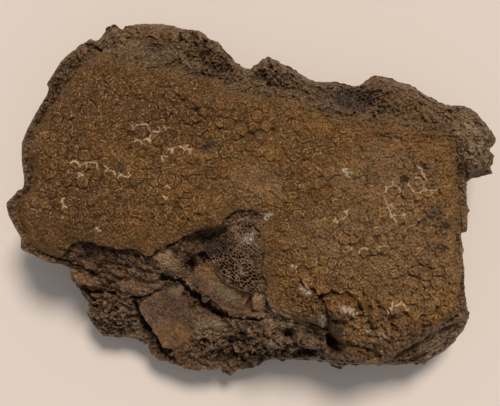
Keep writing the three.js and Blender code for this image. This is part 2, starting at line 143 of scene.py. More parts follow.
# Crevices and cracks as (path, half width, depth)
crevices = [
    ([[-44.5, -38], [-39.5, -39], [-34, -42], [-27, -50], [-19, -56], [-12, -58]], 3.6, 8),
    ([[-19.5, -57.5], [-9.5, -59], [3, -60], [8.5, -57]], 1.3, 5),
    ([[-60.5, -52.5], [-59, -58.5], [-54.5, -67], [-49.5, -73], [-46, -79], [-40, -83.5]], 3.2, 8),
    ([[-88, -43.5], [-84, -46], [-79, -46.5], [-71.5, -46.5]], 1.6, 5),
    ([[-85.5, -45.5], [-83, -51]], 2, 4),
    ([[-39, -41], [-46, -44], [-55.5, -48.5], [-62.5, -49.5]], 0.9, 5),
    ([[-97.5, -28], [-90, -32], [-84, -34.5], [-78, -38]], 1, 4),
    ([[25, -40], [31, -43.5], [36, -48.5], [38, -57.5], [38.5, -63.5]], 2.4, 4.6),
    ([[35.5, -47], [42, -45], [48.5, -46], [53.5, -50], [55.5, -54], [54.5, -58]], 2.1, 3.4),
    ([[40.5, -58], [46.5, -58.5], [52.5, -57]], 2.4, 3.2),
    ([[56.5, -47], [59, -51.5], [58, -57], [60.5, -63]], 2.2, 2.2),
    ([[62.5, -49], [65, -54], [64.5, -60], [67.5, -65]], 2.0, 2),
    ([[68.5, -58], [71.5, -62], [70.5, -68]], 2.2, 3),
    ([[76.5, -55], [79.5, -60], [77.5, -66]], 1.8, 1.6),
    ([[40, -73], [49, -71], [58, -73.5], [66, -77]], 2.6, 3.2),
    ([[16.5, 8.5], [18.5, 1.5], [17, -11]], 1, 0.8),
    ([[-84.5, 81.5], [-78.5, 79.5], [-75, 77.5]], 1.5, 3),
    ([[25, 47.5], [36, 44], [47.5, 41]], 0.7, 0.8),
    ([[70, 34], [100, 31.5]], 0.6, 0.6),
    ([[65, -66.5], [72, -71.5]], 1.4, 2),
    ([[-2, -12], [3, -13], [5, -17]], 1.1, 2.5),
    ([[-46, 58], [-40, 56], [-34, 51], [-28, 45], [-22, 41]], 1.1, 1.1),
    ([[-61, 53], [-53, 51], [-46, 47], [-41, 41]], 1.0, 0.8),
    ([[-74, -26], [-66, -31], [-61, -34]], 1.0, 2.5),
]

# Lumps and pits as (x, y, half length, half width, turn in degrees, rise)
bumps = [
    (-3, -27, 22, 14, 60, 4), (-22, -18, 11, 6, 14, -5), (-31, -32, 5, 7, 0, -6),
    (-42, -30.5, 9, 7, -10, 2.4), (30.5, -50, 13, 10, -35, 2), (48.5, -54, 11, 7, -15, 2.4),
    (27, -43, 5.5, 4, -30, 2.2), (48.5, -53, 6.5, 3, -15, 2.6), (36, -59, 3.5, 4.5, 20, 2),
    (66, -66, 5, 3.4, -20, 2.6), (73.5, -53, 5, 4, 0, 2), (61.5, -56, 3, 6, 15, 2),
    (20, -67.5, 4.5, 4.5, 0, -6), (43.5, -71, 4.5, 8, 25, -8), (30, -71, 9, 4.5, -15, 5),
    (30, -79, 11, 4.5, 0, -5), (-6, -72, 7, 6, 0, -5), (8, -72, 12, 9, 0, 4), (-73, -60, 12, 10, 0, 4),
    (-50, 82, 26, 11, -5, 4), (-18, 71, 10, 6, -30, -4), (12, 68, 15, 8, -20, 4), (50, 54, 12, 9, 0, -4),
    (72, 56, 20, 9, -15, 5), (114, 26, 12, 16, 0, 4), (-27, 49, 4, 2.6, -40, 1.4),
    (-22.5, 44, 3, 2.2, 0, 1.1), (-33, 54, 5, 2.2, -30, 1.2),
]

body = {
    "skinLevel": 54, "skinCrown": 2.5, "shoulderWidth": 15,
    "columns": 792, "rows": 480,  # cells of the top along and across, both multiples of twelve
    "crumble": 0.75,  # how far small chips move the outline
    "topPieces": 4, "sideRings": 52, "baseRings": 10,
    "hollowInset": 0.22, "footInset": 0.13,  # as shares of the way from the rim to the middle
    "hollowLid": 0.15, "topLid": 0.3,  # how high the pieces are shut, as a share of the rim's height
    "seamLean": 1.5,  # cells by which the pieces of the top draw back below their seams
    "waist": 34, "foot": 84, "footLift": 3.5,  # rim points over which the waist and the foot are drawn soft
    "bed": 6.5, "ledge": 2.4, "sideRough": 1.2, "sideBite": 4.4,
    "sideChips": ((15, 2.8, 165), (6, 1.4, 156), (3, 0.7, 153)),
}

# Fine relief in layers of (size, height, seed), for the broken stone, the skin and the plates
fineRelief = {
    "chips": ((5.2, 1.8, 70), (2.4, 1.3, 80), (1.2, 0.85, 84)),
    "pits": ((5, 1.3, 2), (2.4, 1.1, 4)),
    "grains": ((1.1, 0.85, 1), (0.7, 0.45, 12)),
    "skinGrains": ((1.1, 0.36, 6), (0.7, 0.3, 9)),
    "plateChips": ((5, 0.6, 60), (1.8, 0.3, 62)),
    "bed": 2.6,  # thickness of the beds that crop out toward the near edge
}


# A repeatable number from -1 to 1 for each whole-number corner: products of large primes, mixed by shifts
def hashNoise(i, j, k):
    h = (i * 374761393 + j * 668265263 + k * 2147483647) & 0xFFFFFFFF
    h = ((h ^ (h >> 13)) * 1274126177) & 0xFFFFFFFF
    return (h ^ (h >> 16)) / 2147483647.5 - 1


# Smoothed noise from -1 to 1: the hashes of the cell's eight corners, mixed by 3f^2 - 2f^3
def noise(x, y, z):
    x, y, z = np.broadcast_arrays(np.asarray(x, float), y, z)
    cell = [np.floor(v).astype(np.int64) for v in (x, y, z)]
    f = [v - c for v, c in zip((x, y, z), cell)]
    u, v, w = [t * t * (3 - 2 * t) for t in f]
    total = np.zeros(x.shape)
    for a in (0, 1):
        for b in (0, 1):
            for c in (0, 1):
                weight = (u if a else 1 - u) * (v if b else 1 - v) * (w if c else 1 - w)
                total += weight * hashNoise(cell[0] + a, cell[1] + b, cell[2] + c)
    return total


# Noise with finer octaves added, each half the size and half the height of the one before
def roughness(x, y, z, size, octaves=3):
    return sum(noise(x * k / size, y * k / size, z * k / size + 9 * k) / k for k in 2.0 ** np.arange(octaves))


def mix(a, b, t):
    return a + (b - a) * t


# 0 below low, 1 above high, and 3t^2 - 2t^3 between
def ramp(value, low, high):
    t = np.clip((value - low) / (high - low), 0, 1)
    return t * t * (3 - 2 * t)


# Distances to the two nearest of shaken lattice points, and the height of the nearest one's own tilted plane
def lattice(x, y, size, seed):
    u, v = x / size, y / size
    u, v = u + 0.25 * noise(u * 1.3, v * 1.3, seed + 5), v + 0.25 * noise(u * 1.3, v * 1.3, seed + 6)
    nearest, second = np.full(x.shape, np.inf), np.full(x.shape, np.inf)
    plane = np.zeros(x.shape)
    for di in (-1, 0, 1):
        for dj in (-1, 0, 1):
            i, j = np.floor(u).astype(np.int64) + di, np.floor(v).astype(np.int64) + dj
            du = u - i - 0.5 - 0.42 * hashNoise(i, j, seed)
            dv = v - j - 0.5 - 0.42 * hashNoise(i, j, seed + 1)
            distance = np.hypot(du, dv)
            tilted = hashNoise(i, j, seed + 2) * du + hashNoise(i, j, seed + 3) * dv
            plane = np.where(distance < nearest, tilted + 0.45 * hashNoise(i, j, seed + 4), plane)
            second = np.minimum(second, np.maximum(nearest, distance))
            nearest = np.minimum(nearest, distance)
    return nearest, second, plane


# Smoothed noise of one size
def waves(x, y, size, seed):
    return noise(x / size, y / size, seed)


# Flat chips in random tilts
def chips(x, y, size, seed):
    return lattice(x, y, size, seed)[2]


# Pits with steep walls, from 0 to 1 deep, where rough noise passes a level
def pits(x, y, size, seed):
    return ramp(roughness(x, y, seed * 3.7, size, 2), 0.2, 0.48)


# Waves, chips or pits in layers of (size, height, seed), added up
def layered(made, x, y, layers):
    return sum(height * made(x, y, size, seed) for size, height, seed in layers)


# Points pushed about by noise of one size, along x by the first seed and along y by the second
def pushed(points, amount, size, seeds, octaves=3):
    moved = points.copy()
    for k, seed in enumerate(seeds):
        moved[:, k] += amount * roughness(points[:, 0], points[:, 1], seed, size, octaves)
    return moved


# Catmull-Rom curve through the points, cut into count equal lengths
def spline(points, count):
    p = np.array(points, float)
    ends = np.vstack([2 * p[0] - p[1], p, 2 * p[-1] - p[-2]])
    t = np.linspace(0, 1, 12, endpoint=False)[None, :, None]
    a, b, c, d = [ends[k:len(ends) - 3 + k][:, None, :] for k in range(4)]
    curve = 0.5 * (2 * b + (c - a) * t + (2 * a - 5 * b + 4 * c - d) * t**2 + (3 * b - a - 3 * c + d) * t**3)
    curve = np.vstack([curve.reshape(-1, p.shape[1]), p[-1]])
    along = np.concatenate([[0], np.cumsum(np.hypot(*np.diff(curve[:, :2], axis=0).T))])
    at = np.linspace(0, along[-1], count + 1)
    return np.stack([np.interp(at, along, column) for column in curve.T], axis=1)


# Distance of each point to a line of points, at most within, and the line's values at the nearest place
def toLine(line, xy, closed=True, within=45):
    line = np.array(line, float)
    ends = np.roll(line, -1, axis=0) if closed else line[1:]
    starts = line[:len(ends)]
    best = np.full(len(xy), float(within))
    held = np.repeat(line[:1], len(xy), axis=0)
    for first in range(0, len(starts), 10):
        legs = slice(first, first + 10)
        low = np.minimum(starts[legs], ends[legs])[:, :2].min(0) - within
        high = np.maximum(starts[legs], ends[legs])[:, :2].max(0) + within
        near = np.flatnonzero(((xy > low) & (xy < high)).all(axis=1))
        close, values = best[near], held[near]
        for a, b in zip(starts[legs], ends[legs]):
            leg = b - a
            t = np.clip((xy[near] - a[:2]) @ leg[:2] / (leg[:2] @ leg[:2]), 0, 1)
            at = a + t[:, None] * leg
            distance = np.hypot(*(xy[near] - at[:, :2]).T)
            nearer = distance < close
            close[nearer] = distance[nearer]
            values[nearer] = at[nearer]
        best[near], held[near] = close, values
    return best, held


# True within a closed line: a ray to the left crosses it an odd number of times
def inside(line, xy):
    line = np.array(line, float)[:, :2]
    x, y = xy.T
    within = np.zeros(len(xy), bool)
    for a, b in zip(line, np.roll(line, -1, axis=0)):
        crosses = (a[1] > y) != (b[1] > y)
        rise = b[1] - a[1] if b[1] != a[1] else 1.0
        within ^= crosses & (x < a[0] + (y - a[1]) / rise * (b[0] - a[0]))
    return within


# Mean of the values [x, y, value], each divided by the fourth power of its distance
def weighted(values, xy):
    total = np.zeros(len(xy))
    weights = np.zeros(len(xy))
    for vx, vy, value in values:
        weight = ((xy[:, 0] - vx) ** 2 + (xy[:, 1] - vy) ** 2 + 1) ** -2.0
        total += weight * value
        weights += weight
    return total / weights


# How far points lie along and across a line turned by so many degrees
def turnedBy(turn, x, y):
    turned = np.radians(turn)
    return x * np.cos(turned) + y * np.sin(turned), y * np.cos(turned) - x * np.sin(turned)


# Place of each point in an oval (x, y, half length, half width, turn if any): 0 at the middle, 1 on the edge
def ovalReach(xy, oval):
    cx, cy, long, wide, turn = (*oval, 0)[:5]
    along, across = turnedBy(turn, xy[:, 0] - cx, xy[:, 1] - cy)
    return np.hypot(along / long, across / wide)


# 1 in the middle of an oval and 0 outside, falling between two places in it that bend moves
def inOval(xy, oval, full, empty, bend=0):
    return 1 - ramp(ovalReach(xy, oval) + bend, full, empty)


# A bell curve: its height at a place, falling off over a width
def bell(value, height, place, width):
    return height * np.exp(-((value - place) / width) ** 2)


# The smaller of two values, rounded where they differ by less than blend
def softMin(a, b, blend):
    share = np.clip(0.5 + (b - a) / (2 * blend), 0, 1)
    return mix(b, a, share) - blend * share * (1 - share)


# The four edges of the top as even rows of points, each from left to right or from near to far
edges = {
    "far": spline(outline["far"] + outline["right"][:1], body["columns"]),
    "right": spline(outline["right"] + outline["near"][:1], body["rows"])[::-1],
    "near": spline(outline["near"] + outline["left"][:1], body["columns"])[::-1],
    "left": spline(outline["left"] + outline["far"][:1], body["rows"]),
}
rimTable = np.vstack([edges["far"], edges["right"][::-1], edges["near"][::-1], edges["left"]])[::12]


# An edge that noise moves into small chips, least along the skin and at the ends
def crumbled(edge):
    x, y = edge[:, 0], edge[:, 1]
    broken = np.where((x < -95) & (y > -25), 0.35, 1.0) * np.sin(np.linspace(0, np.pi, len(edge))) ** 0.25
    broken = broken * (1 + 0.8 * ramp(-y, 50, 70) * ramp(-x, -10, 40))
    return pushed(edge, body["crumble"] * broken, 3.4, (40, 47))


edges = {name: crumbled(edge) for name, edge in edges.items()}


# Straight lines between opposite edges, both ways, added, less the corners' share
def coonsGrid(near, far, left, right):
    s = np.linspace(0, 1, len(near))[:, None, None]
    t = np.linspace(0, 1, len(left))[None, :, None]
    n, f, l, r = near[:, None, :2], far[:, None, :2], left[None, :, :2], right[None, :, :2]
    corners = (1 - t) * mix(n[:1], n[-1:], s) + t * mix(f[:1], f[-1:], s)
    return mix(n, f, t) + mix(l, r, s) - corners


# Winslow smoothing: each point moves to a mean of its neighbours that keeps the cells from folding
def evened(grid, rounds):
    for _ in range(rounds):
        east, west, north, south = grid[2:, 1:-1], grid[:-2, 1:-1], grid[1:-1, 2:], grid[1:-1, :-2]
        alongS, alongT = (east - west) / 2, (north - south) / 2
        alpha = (alongT**2).sum(-1, keepdims=True)
        gamma = (alongS**2).sum(-1, keepdims=True)
        beta = (alongS * alongT).sum(-1, keepdims=True)
        cross = grid[2:, 2:] - grid[:-2, 2:] - grid[2:, :-2] + grid[:-2, :-2]
        mean = alpha * (east + west) + gamma * (north + south) - beta * cross / 2
        grid[1:-1, 1:-1] = mean / (2 * (alpha + gamma))
    return grid


# The grid with two new points in each step, both ways, on straight lines
def finer(grid):
    for axis in (0, 1):
        at = np.arange(3 * (grid.shape[axis] - 1) + 1) / 3
        low = np.minimum(at.astype(int), grid.shape[axis] - 2)
        share = np.expand_dims(at - low, (1 - axis, 2))
        grid = mix(np.take(grid, low, axis), np.take(grid, low + 1, axis), share)
    return grid


grid = finer(evened(coonsGrid(*(edges[name][::3] for name in ("near", "far", "left", "right"))), 250))
grid[:, 0], grid[:, -1] = edges["near"][:, :2], edges["far"][:, :2]
grid[0], grid[-1] = edges["left"][:, :2], edges["right"][:, :2]
grid = evened(grid, 30)
print("grid of the top:", grid.shape)


# A closed outline as a curve of many points that noise pushes about, so that it breaks like stone
def broken(line, count, amount, size):
    return pushed(spline(np.vstack([line, line[:1]]), count)[:-1], amount, size, (90, 97))


skinBorder = broken(skinEdge, 600, 0.9, 6)
plateBorders = {name: broken(plate["outline"], 160, 1.1, 4) for name, plate in plates.items()}


# The grid's points, with free ones that lie less than half a cell from a border moved onto it
def borderedPoints():
    free = np.zeros(grid.shape[:2], bool)
    free[2:-2, 2:-2] = True
    free = free.ravel()
    xy = grid.reshape(-1, 2).copy()
    sideways, endways = grid[2:, 1:-1] - grid[:-2, 1:-1], grid[1:-1, 2:] - grid[1:-1, :-2]
    area = np.abs(sideways[..., 0] * endways[..., 1] - sideways[..., 1] * endways[..., 0]) / 4
    reach = 0.5 * np.pad(np.sqrt(area), 1, mode="edge").ravel()
    for line in [skinBorder, *plateBorders.values()]:
        distance, held = toLine(line, grid.reshape(-1, 2), within=2)
        near = free & (distance < reach)
        xy = np.where(near[:, None], held[:, :2], xy)
    return xy


xy = borderedPoints()
print("points moved onto the borders")

scales = {
    "pitchX": (5.9, 5.4), "pitchY": (5.5, 5.7),  # spacing at the left and right, and at the near and far side
    "jitter": 0.37, "wander": 1.8, "sizeSpread": 2.3,
    "radius": 3.15,  # corners farther from a scale's middle than this are filled by the matrix
    "waver": 0.5,  # how far outlines bend from straight joints
    # height, distance and width of what runs round a scale, of a knob in its middle and of walls between some
    "groove": (-0.48, 0, 0.27), "lip": (0.38, 0.85, 0.4), "ring": (-0.28, 1.5, 0.35), "knob": (0.4, 0, 0.8),
    "ridge": (0.45, 0, 0.4), "crown": 0.45, "step": 0.35, "lean": 0.1,
    # scales that stand out by their size, as (x, y, radius)
    "large": [(80, -40.5, 3.7), (93.5, -40, 3.5), (86.5, -27, 3.3), (62, -30, 3.2), (56, -6, 3.2),
              (-54, 35.5, 3.6), (73.5, -53, 3.4), (-21, 32, 3.2), (19, 29, 3.1), (-82, 30, 3.1),
              (70.5, 6.5, 2.9), (82.5, 9, 3.1), (90.5, 9.5, 2.6)],
    # ovals where the scales stand out most
    "keen": [(86, -38, 16, 11), (80, 7, 15, 9), (-52, 33, 14, 9), (-80, 14, 16, 9),
             (-8, 40, 26, 11, -10), (-28, 0, 14, 10), (60, -22, 14, 7)],
    # ovals where the scales are worn away
    "worn": [(-57, 66, 22, 4, -8), (34, 40, 11, 5, -8), (57, 27, 11, 8), (91, 26, 13, 5),
             (-94, -16, 18, 8, -10), (-60, -17, 18, 6), (-14, 54, 14, 4, -10), (70, 38, 25, 4, -5)],
    # lines along which lime fills the outlines of the scales
    "lime": [
        [(-58, 37.5), (-55.5, 39), (-52, 38.5), (-48.5, 36), (-45.5, 36.5), (-43, 37), (-41, 32.5)],
        [(-58, 32.5), (-56, 31), (-53, 30.5), (-50, 31.5), (-48.5, 33)],
        [(-43.5, 21.5), (-41, 25), (-39.5, 26), (-34.5, 27), (-31, 27.5), (-29.5, 25.5)],
        [(-88, 20), (-83, 19), (-78, 19), (-74.5, 18), (-71, 16.5), (-68, 15)],
        [(-89, 15.5), (-86.5, 14), (-80.5, 13)], [(-65.5, 14), (-63, 12.5), (-60.5, 14)],
        [(-92.5, 1.5), (-92, -2.5)], [(-75, -12), (-74, -13.5)], [(-41, 7.5), (-42, 3)],
        [(67.5, 6.5), (70, 9.5), (73.5, 6.5)], [(67.5, 3), (69.5, -1), (69, -4.5), (73, -8.5), (76, -6.5)],
        [(79.5, 9.5), (81, 12), (84, 12), (85.5, 9), (84, 6.5), (80.5, 6.5), (79.5, 9.5)],
        [(86.5, 11.5), (87, 7), (90, 6), (91.5, 8)], [(84, 18), (84.5, 14), (87.5, 13.5)],
        [(51.5, -22.5), (54.5, -24), (58, -22)], [(62, -22.5), (67, -22)], [(47, 16.5), (49.5, 14.5)],
        [(42, -9.5), (45, -6.5), (48.5, -4.5)], [(68.5, -55), (71, -50), (75, -49.5), (77.5, -52)],
    ],
}


# Centres on staggered rows whose pitch changes across the slab, shaken at random and led astray by noise
def scaleCentres():
    rng = np.random.default_rng(7)
    corner, span = np.array([-128.0, -92.0]), np.array([246.0, 176.0])
    counts, places = [], []
    for k, pitches in enumerate((scales["pitchX"], scales["pitchY"])):
        at = np.linspace(0, span[k], 2000)
        pitch = np.interp(at / span[k], (0, 1), pitches) * (1.0, 0.87)[k]
        counts.append(np.cumsum(1 / pitch) * at[1])
        places.append(corner[k] + at)
    j, i = np.meshgrid(np.arange(int(counts[1][-1])), np.arange(int(counts[0][-1])), indexing="ij")
    shaken = rng.uniform(-1, 1, (2,) + i.shape) * scales["jitter"]
    x = np.interp(i + 0.5 * (j % 2) + shaken[0], counts[0], places[0])
    y = np.interp(j + shaken[1], counts[1], places[1])
    strayed = [v + scales["wander"] * noise(x / 21, y / 21, 31 + k) for k, v in enumerate((x, y))]
    centres = np.stack(strayed, axis=-1).reshape(-1, 2)
    weights = np.clip(rng.normal(0, scales["sizeSpread"], len(centres)), -4, 4)
    large = np.array(scales["large"])
    away = np.hypot(*(centres[:, None] - large[None, :, :2]).transpose(2, 0, 1))
    kept = (away > large[None, :, 2] * 0.95 + 1.2).all(axis=1)
    return np.vstack([centres[kept], large[:, :2]]), np.concatenate([weights[kept], large[:, 2] ** 2 - 5.5])


centres, weights = scaleCentres()
radii = np.sqrt(scales["radius"] ** 2 + weights)
print("scale centres:", len(centres))


# For each point: its scale, and the distance to that scale's nearest joint. A joint is where the squared
# distances to two centres, each less its weight, are equal. Centres are looked up in square bins.
def cells(xy):
    size, low = 7.0, centres.min(0) - 20
    bins = ((centres - low) / size).astype(int)
    across = int((centres[:, 1].max() + 20 - low[1]) / size) + 2
    number = bins[:, 0] * across + bins[:, 1]
    order = np.argsort(number, kind="stable")
    place = np.arange(len(order)) - np.searchsorted(number[order], number[order])
    table = np.full((number.max() + 2 * across, place.max() + 1), len(centres))
    table[number[order], place] = order
    padded = np.vstack([centres, [1e5, 1e5]])
    heavy = np.append(weights, 0)
    home, joint = np.empty(len(xy), int), np.empty(len(xy))
    for start in range(0, len(xy), 20000):
        p = xy[start:start + 20000]
        i, j = ((p - low) / size).astype(int).T
        around = [(i + a) * across + j + b for a in (-1, 0, 1) for b in (-1, 0, 1)]
        ids = np.concatenate(table[np.array(around)], axis=1)
        power = ((p[:, None] - padded[ids]) ** 2).sum(-1) - heavy[ids]
        two = np.argpartition(power, 1, axis=1)[:, :2]
        values = np.take_along_axis(power, two, 1)
        nearest, other = np.take_along_axis(ids, two, 1).T
        rows = slice(start, start + len(p))
        home[rows] = nearest
        joint[rows] = (values[:, 1] - values[:, 0]) / (2 * np.hypot(*(padded[other] - padded[nearest]).T))
    return home, joint


# Ovals as (x, y, half length, half width, turn) and then values of their own
zones = {
    "shelf": (31, -68, 34, 15, -8),  # where the stone stays high and level until close to the rim
    # share: how far the skin is folded
    "folded": [(58, -60, 32, 17, -8, 2.2), (30, -50, 14, 11, 0, 1.4), (88, -60, 18, 11, 35, 1.6),
               (-60, 70, 26, 8, 0, 0.6), (-32, 50, 30, 12, -15, 0.8), (95, 0, 14, 26, 0, 0.5)],
    # share: how ragged the broken stone is
    "ragged": [(57, 53, 14, 11, 0, 0.6), (-18, 69, 14, 8, -30, 0.5), (14, 66, 14, 10, -20, 0.5),
               (-30, 82, 18, 9, -10, 0.4), (-73, -60, 16, 13, 0, 0.6), (5, -76, 22, 12, 0, 0.9),
               (28, -76, 16, 9, 0, 0.7), (-16, -76, 14, 10, 0, 0.6), (-58, 74, 28, 9, 8, -0.5),
               (114, 26, 14, 16, 0, 0.1), (-22, -62, 10, 12, 30, -0.3), (-2, -12, 12, 8, 0, -0.4)],
    # distance between ribs and their height, for what splits along the grain or lies in folds
    "ribbed": [(24, -61, 20, 6.5, -18, 1.5, 1.4), (84, 55.5, 24, 8, -22, 2.8, 1.3),
               (-83, -40, 11, 4, -25, 1.6, 0.7), (-55, -43, 13, 4.5, -10, 1.5, 0.5),
               (-77, -29, 19, 8, -14, 1.8, 1.3), (94, -73, 26, 10, 33, 2.2, 3.2),
               (55, -82, 17, 5, 5, 1.9, 1.6), (-58, -34, 14, 5, -15, 2.0, 0.6),
               (50, -56, 22, 8, -25, 4.2, 1.3), (84, -64, 15, 6, 38, 3.4, 1.0),
               (33, -51, 9, 6, -50, 3.4, 0.8), (86, 33.5, 26, 5, -5, 1.7, 1.1), (-2, -9, 9, 5, 10, 1.3, 0.5)],
    # depth, for holes and slots with steep walls
    "holes": [(20, -68, 2.4, 2.2, 20, 4), (41.5, -71.5, 6, 2.6, -55, 5), (30, -78, 8, 2.0, 0, 3),
              (-7, -71.5, 3.2, 1.7, 0, 2.5), (1, -59, 2.4, 1.4, 0, 3), (-31, -33.5, 2.6, 3.6, 0, 4.5),
              (-24, -28, 3, 2.1, 20, 5), (-20, -15.5, 10, 2.2, 14, 1.6), (-27, -53, 3, 2, -30, 3),
              (-14, -61, 3, 1.6, -20, 3), (-33.5, -48, 2, 2.2, 0, 3), (-18, 70.5, 5, 2.2, -25, 2),
              (-48, 78, 4, 2.4, -20, 1.2), (-12, 67, 3, 1.5, 0, 1.4), (12, 67, 4, 2, -30, 1),
              (-64, -62, 3, 1.8, -20, 2), (-75, -57, 3.4, 1.6, 0, 1.8), (61, 50, 3, 1.6, 10, 1.2),
              (-1, -52, 3.6, 0.9, 75, 3)],
    # distance between pores, their depth and the way they are drawn out, for spongy bone
    "spongy": [(-2, -18, 12, 12, 0, 1.35, 0.8, 50), (-15, -24, 10, 8, 0, 1.35, 1.4, -35),
               (-8, -33, 15, 10, -35, 1.5, 2.3, -38), (-41, -31, 8.5, 7, -35, 1.2, 0.6, 70),
               (54, 53, 13, 8, -15, 1.7, 1.2, 15)],
}


# A low dome that rolls down by roll to its border, with slow waves
def skinHeight(x, y, roll, distance):
    dome = body["skinCrown"] * (1 - ((x / 120) ** 2 + (y / 90) ** 2) / 2)
    rolled = roll * (1 - np.clip(distance / body["shoulderWidth"], 0, 1)) ** 2
    return body["skinLevel"] - body["skinCrown"] + dome - rolled + 0.9 * waves(x, y, 38, 3)


# How far to move a height so that beds of the given thickness crop out in steps: flat for most of each bed,
# then steep up to the next
def terraces(z, pitch, share, wobble):
    beds = z / pitch + wobble
    part = beds - np.floor(beds)
    return share * pitch * (np.clip((part - 0.7) / 0.3, 0, 1) - part)


footTable = [[a, b, skinHeight(a, b, r, 0) - step] for a, b, r, step in skinEdge]


# The stone before its fine relief: smooth skin inside its border and a slope from there to the rim outside,
# then lumps, cracks, plates and holes
def groundForm(xy, toSkin, toRim, onSkin, roll):
    x, y = xy.T
    z = np.empty(len(xy))
    flat, side = xy[onSkin], toSkin[onSkin]
    u, v = flat.T
    folded = sum(share * inOval(flat, oval, 0.4, 1) for *oval, share in zones["folded"])
    puffed = 2.4 * np.abs(noise(u / 9, v / 6, 6)) + 1.2 * np.abs(noise(u / 4, v / 3.4, 8))
    creased = 0.45 * roughness(u, v, 4, 10, 2) + 0.4 * np.abs(waves(u, v, 5, 9))
    creased = creased + folded * (puffed + 0.8 * chips(u, v, 6, 40))
    z[onSkin] = skinHeight(u, v, roll[onSkin], side) + creased * np.clip(side / 5, 0, 1)
    flat, side, rim = xy[~onSkin], toSkin[~onSkin], toRim[~onSkin]
    up = (rim / (rim + side + 1e-6)) ** (0.8 - 0.45 * inOval(flat, zones["shelf"], 0.6, 1.2))
    rock = mix(weighted(rimTable, flat), weighted(footTable, flat), up)
    z[~onSkin] = rock + 1.3 * roughness(*flat.T, 0, 16) * np.clip(rim / 4, 0, 1)
    for *oval, rise in bumps:
        z = z + rise * np.clip(1 - ovalReach(xy, oval) ** 2, 0, None) * np.clip(toRim / 5, 0, 1)
    deep, onPlate, onBone, rubbed = np.zeros((4, len(xy)))
    ragged = np.maximum(0.75 + 0.95 * roughness(x, y, 50, 3), 0.1)
    bent = pushed(xy, 0.9, 3.4, (53, 57))
    for path, width, depth in crevices:
        distance, _ = toLine(spline(path, 24), bent, closed=False, within=3 * width)
        cut = 1 - ramp(distance / np.maximum(width * ragged, 0.3), 0.1, 1)
        cut = cut * np.clip(toRim / 3, 0, 1)
        z = z - depth * cut
        deep = np.maximum(deep, cut * min(depth / 6, 1))
    for name, plate in plates.items():
        border, _ = toLine(plateBorders[name], xy)
        within = inside(plateBorders[name], xy) | (border < 0.01)
        dx, dy = (xy - np.mean(plate["outline"], axis=0)).T
        (riseX, riseY), (softX, softY, run) = plate["slope"], plate["soft"]
        soft = np.clip((dx * softX + dy * softY) / 12, 0, 1)
        share = np.where(within, ramp(border, -0.01, 0.01 + soft * run), 0)
        worn = 0.7 * (1 - np.clip(border / 1.4, 0, 1)) ** 2 * (1 - soft)
        plane = plate["height"] + riseX * dx + riseY * dy - worn + 0.7 * roughness(x, y, 5, 6)
        z = mix(z, plane + layered(chips, x, y, fineRelief["plateChips"]), share)
        deep = deep * (1 - share)
        onPlate = np.maximum(onPlate, share)
        onBone = np.maximum(onBone, share * plate["bone"])
        rubbed = np.maximum(rubbed, share * np.exp(-border / 1.3))
    bend = 0.3 * roughness(x, y, 52, 2.6, 2)
    for *oval, depth in zones["holes"]:
        hollow = inOval(bent, oval, 0.6, 1.15, bend)
        z = z - depth * hollow * np.clip(toRim / 2, 0, 1)
        deep = np.maximum(deep, hollow * min(depth / 6, 1))
    return z, deep, onPlate, onBone, rubbed


# Scales: a groove along each outline, a lip inside it, a ring and a knob on some, on a low crown. The outline
# is the joint, with corners cut to a circle and all of it bent by noise.
def scaleRelief(x, y, toSkin, deep):
    flat = np.column_stack([x, y])
    bent = pushed(flat, scales["waver"], 2.8, (33, 47), 2)
    home, joint = cells(bent)
    du, dv = (bent - centres[home]).T
    toCentre = np.hypot(du, dv)
    edge = softMin(joint, radii[home] - toCentre, 0.4)
    tone = (hashNoise(home, 5, 3) + 1) / 2
    ringed = ramp(hashNoise(home, 8, 4), -0.5, 0.4)
    fade = ramp(toSkin + 2.2 * waves(x, y, 6, 14), 1, 6) * (1 - ramp(deep, 0.1, 0.6))
    for oval in scales["worn"]:
        fade = fade * (1 - 0.8 * inOval(flat, oval, 0.6, 1.15, 0.3 * waves(x, y, 5, 15)))
    keen = sum(inOval(flat, oval, 0.5, 1.3) for oval in scales["keen"])
    wear = 0.6 + 0.2 * ramp(roughness(x, y, 11, 24, 2), -0.5, 0.4) + 0.3 * keen
    broken = np.maximum(0.8 + 1.2 * waves(x, y, 2.6, 71), 0)
    raised = broken * bell(np.maximum(edge, 0), *scales["groove"]) + bell(edge, *scales["lip"])
    raised = raised + ringed * (bell(edge, *scales["ring"]) + bell(toCentre, *scales["knob"]))
    raised = raised + scales["crown"] * (0.5 + 0.7 * keen) * (0.6 - (toCentre / 2.7) ** 2)
    raised = raised + scales["lean"] * (hashNoise(home, 0, 6) * du + hashNoise(home, 1, 6) * dv)
    raised = raised + scales["step"] * (tone - 0.5)
    walls = bell(edge, *scales["ridge"]) + 0.2 * (tone - 0.5)
    # in places the joints stand up as fine walls and aren't grooves
    raised = fade * wear * mix(raised, walls, 0.85 * ramp(waves(x, y, 17, 19), 0.3, 0.55))
    grit = 0.3 * roughness(x, y, 1, 2.4, 2) + layered(waves, x, y, fineRelief["skinGrains"])
    raised = raised + grit * (1 + 0.35 * ramp(x, 0, 70) + 0.8 * ramp(-y, 35, 50) * ramp(x, 10, 30))
    lime = np.min([toLine(line, flat, False, 2)[0] for line in scales["lime"]], axis=0)
    return {"joint": np.abs(edge) + 2.5 * (1 - fade), "toCentre": toCentre + 3 * (1 - fade),
            "scaleTone": tone, "lime": 1 - ramp(lime, 0.8, 1.9), "relief": raised}


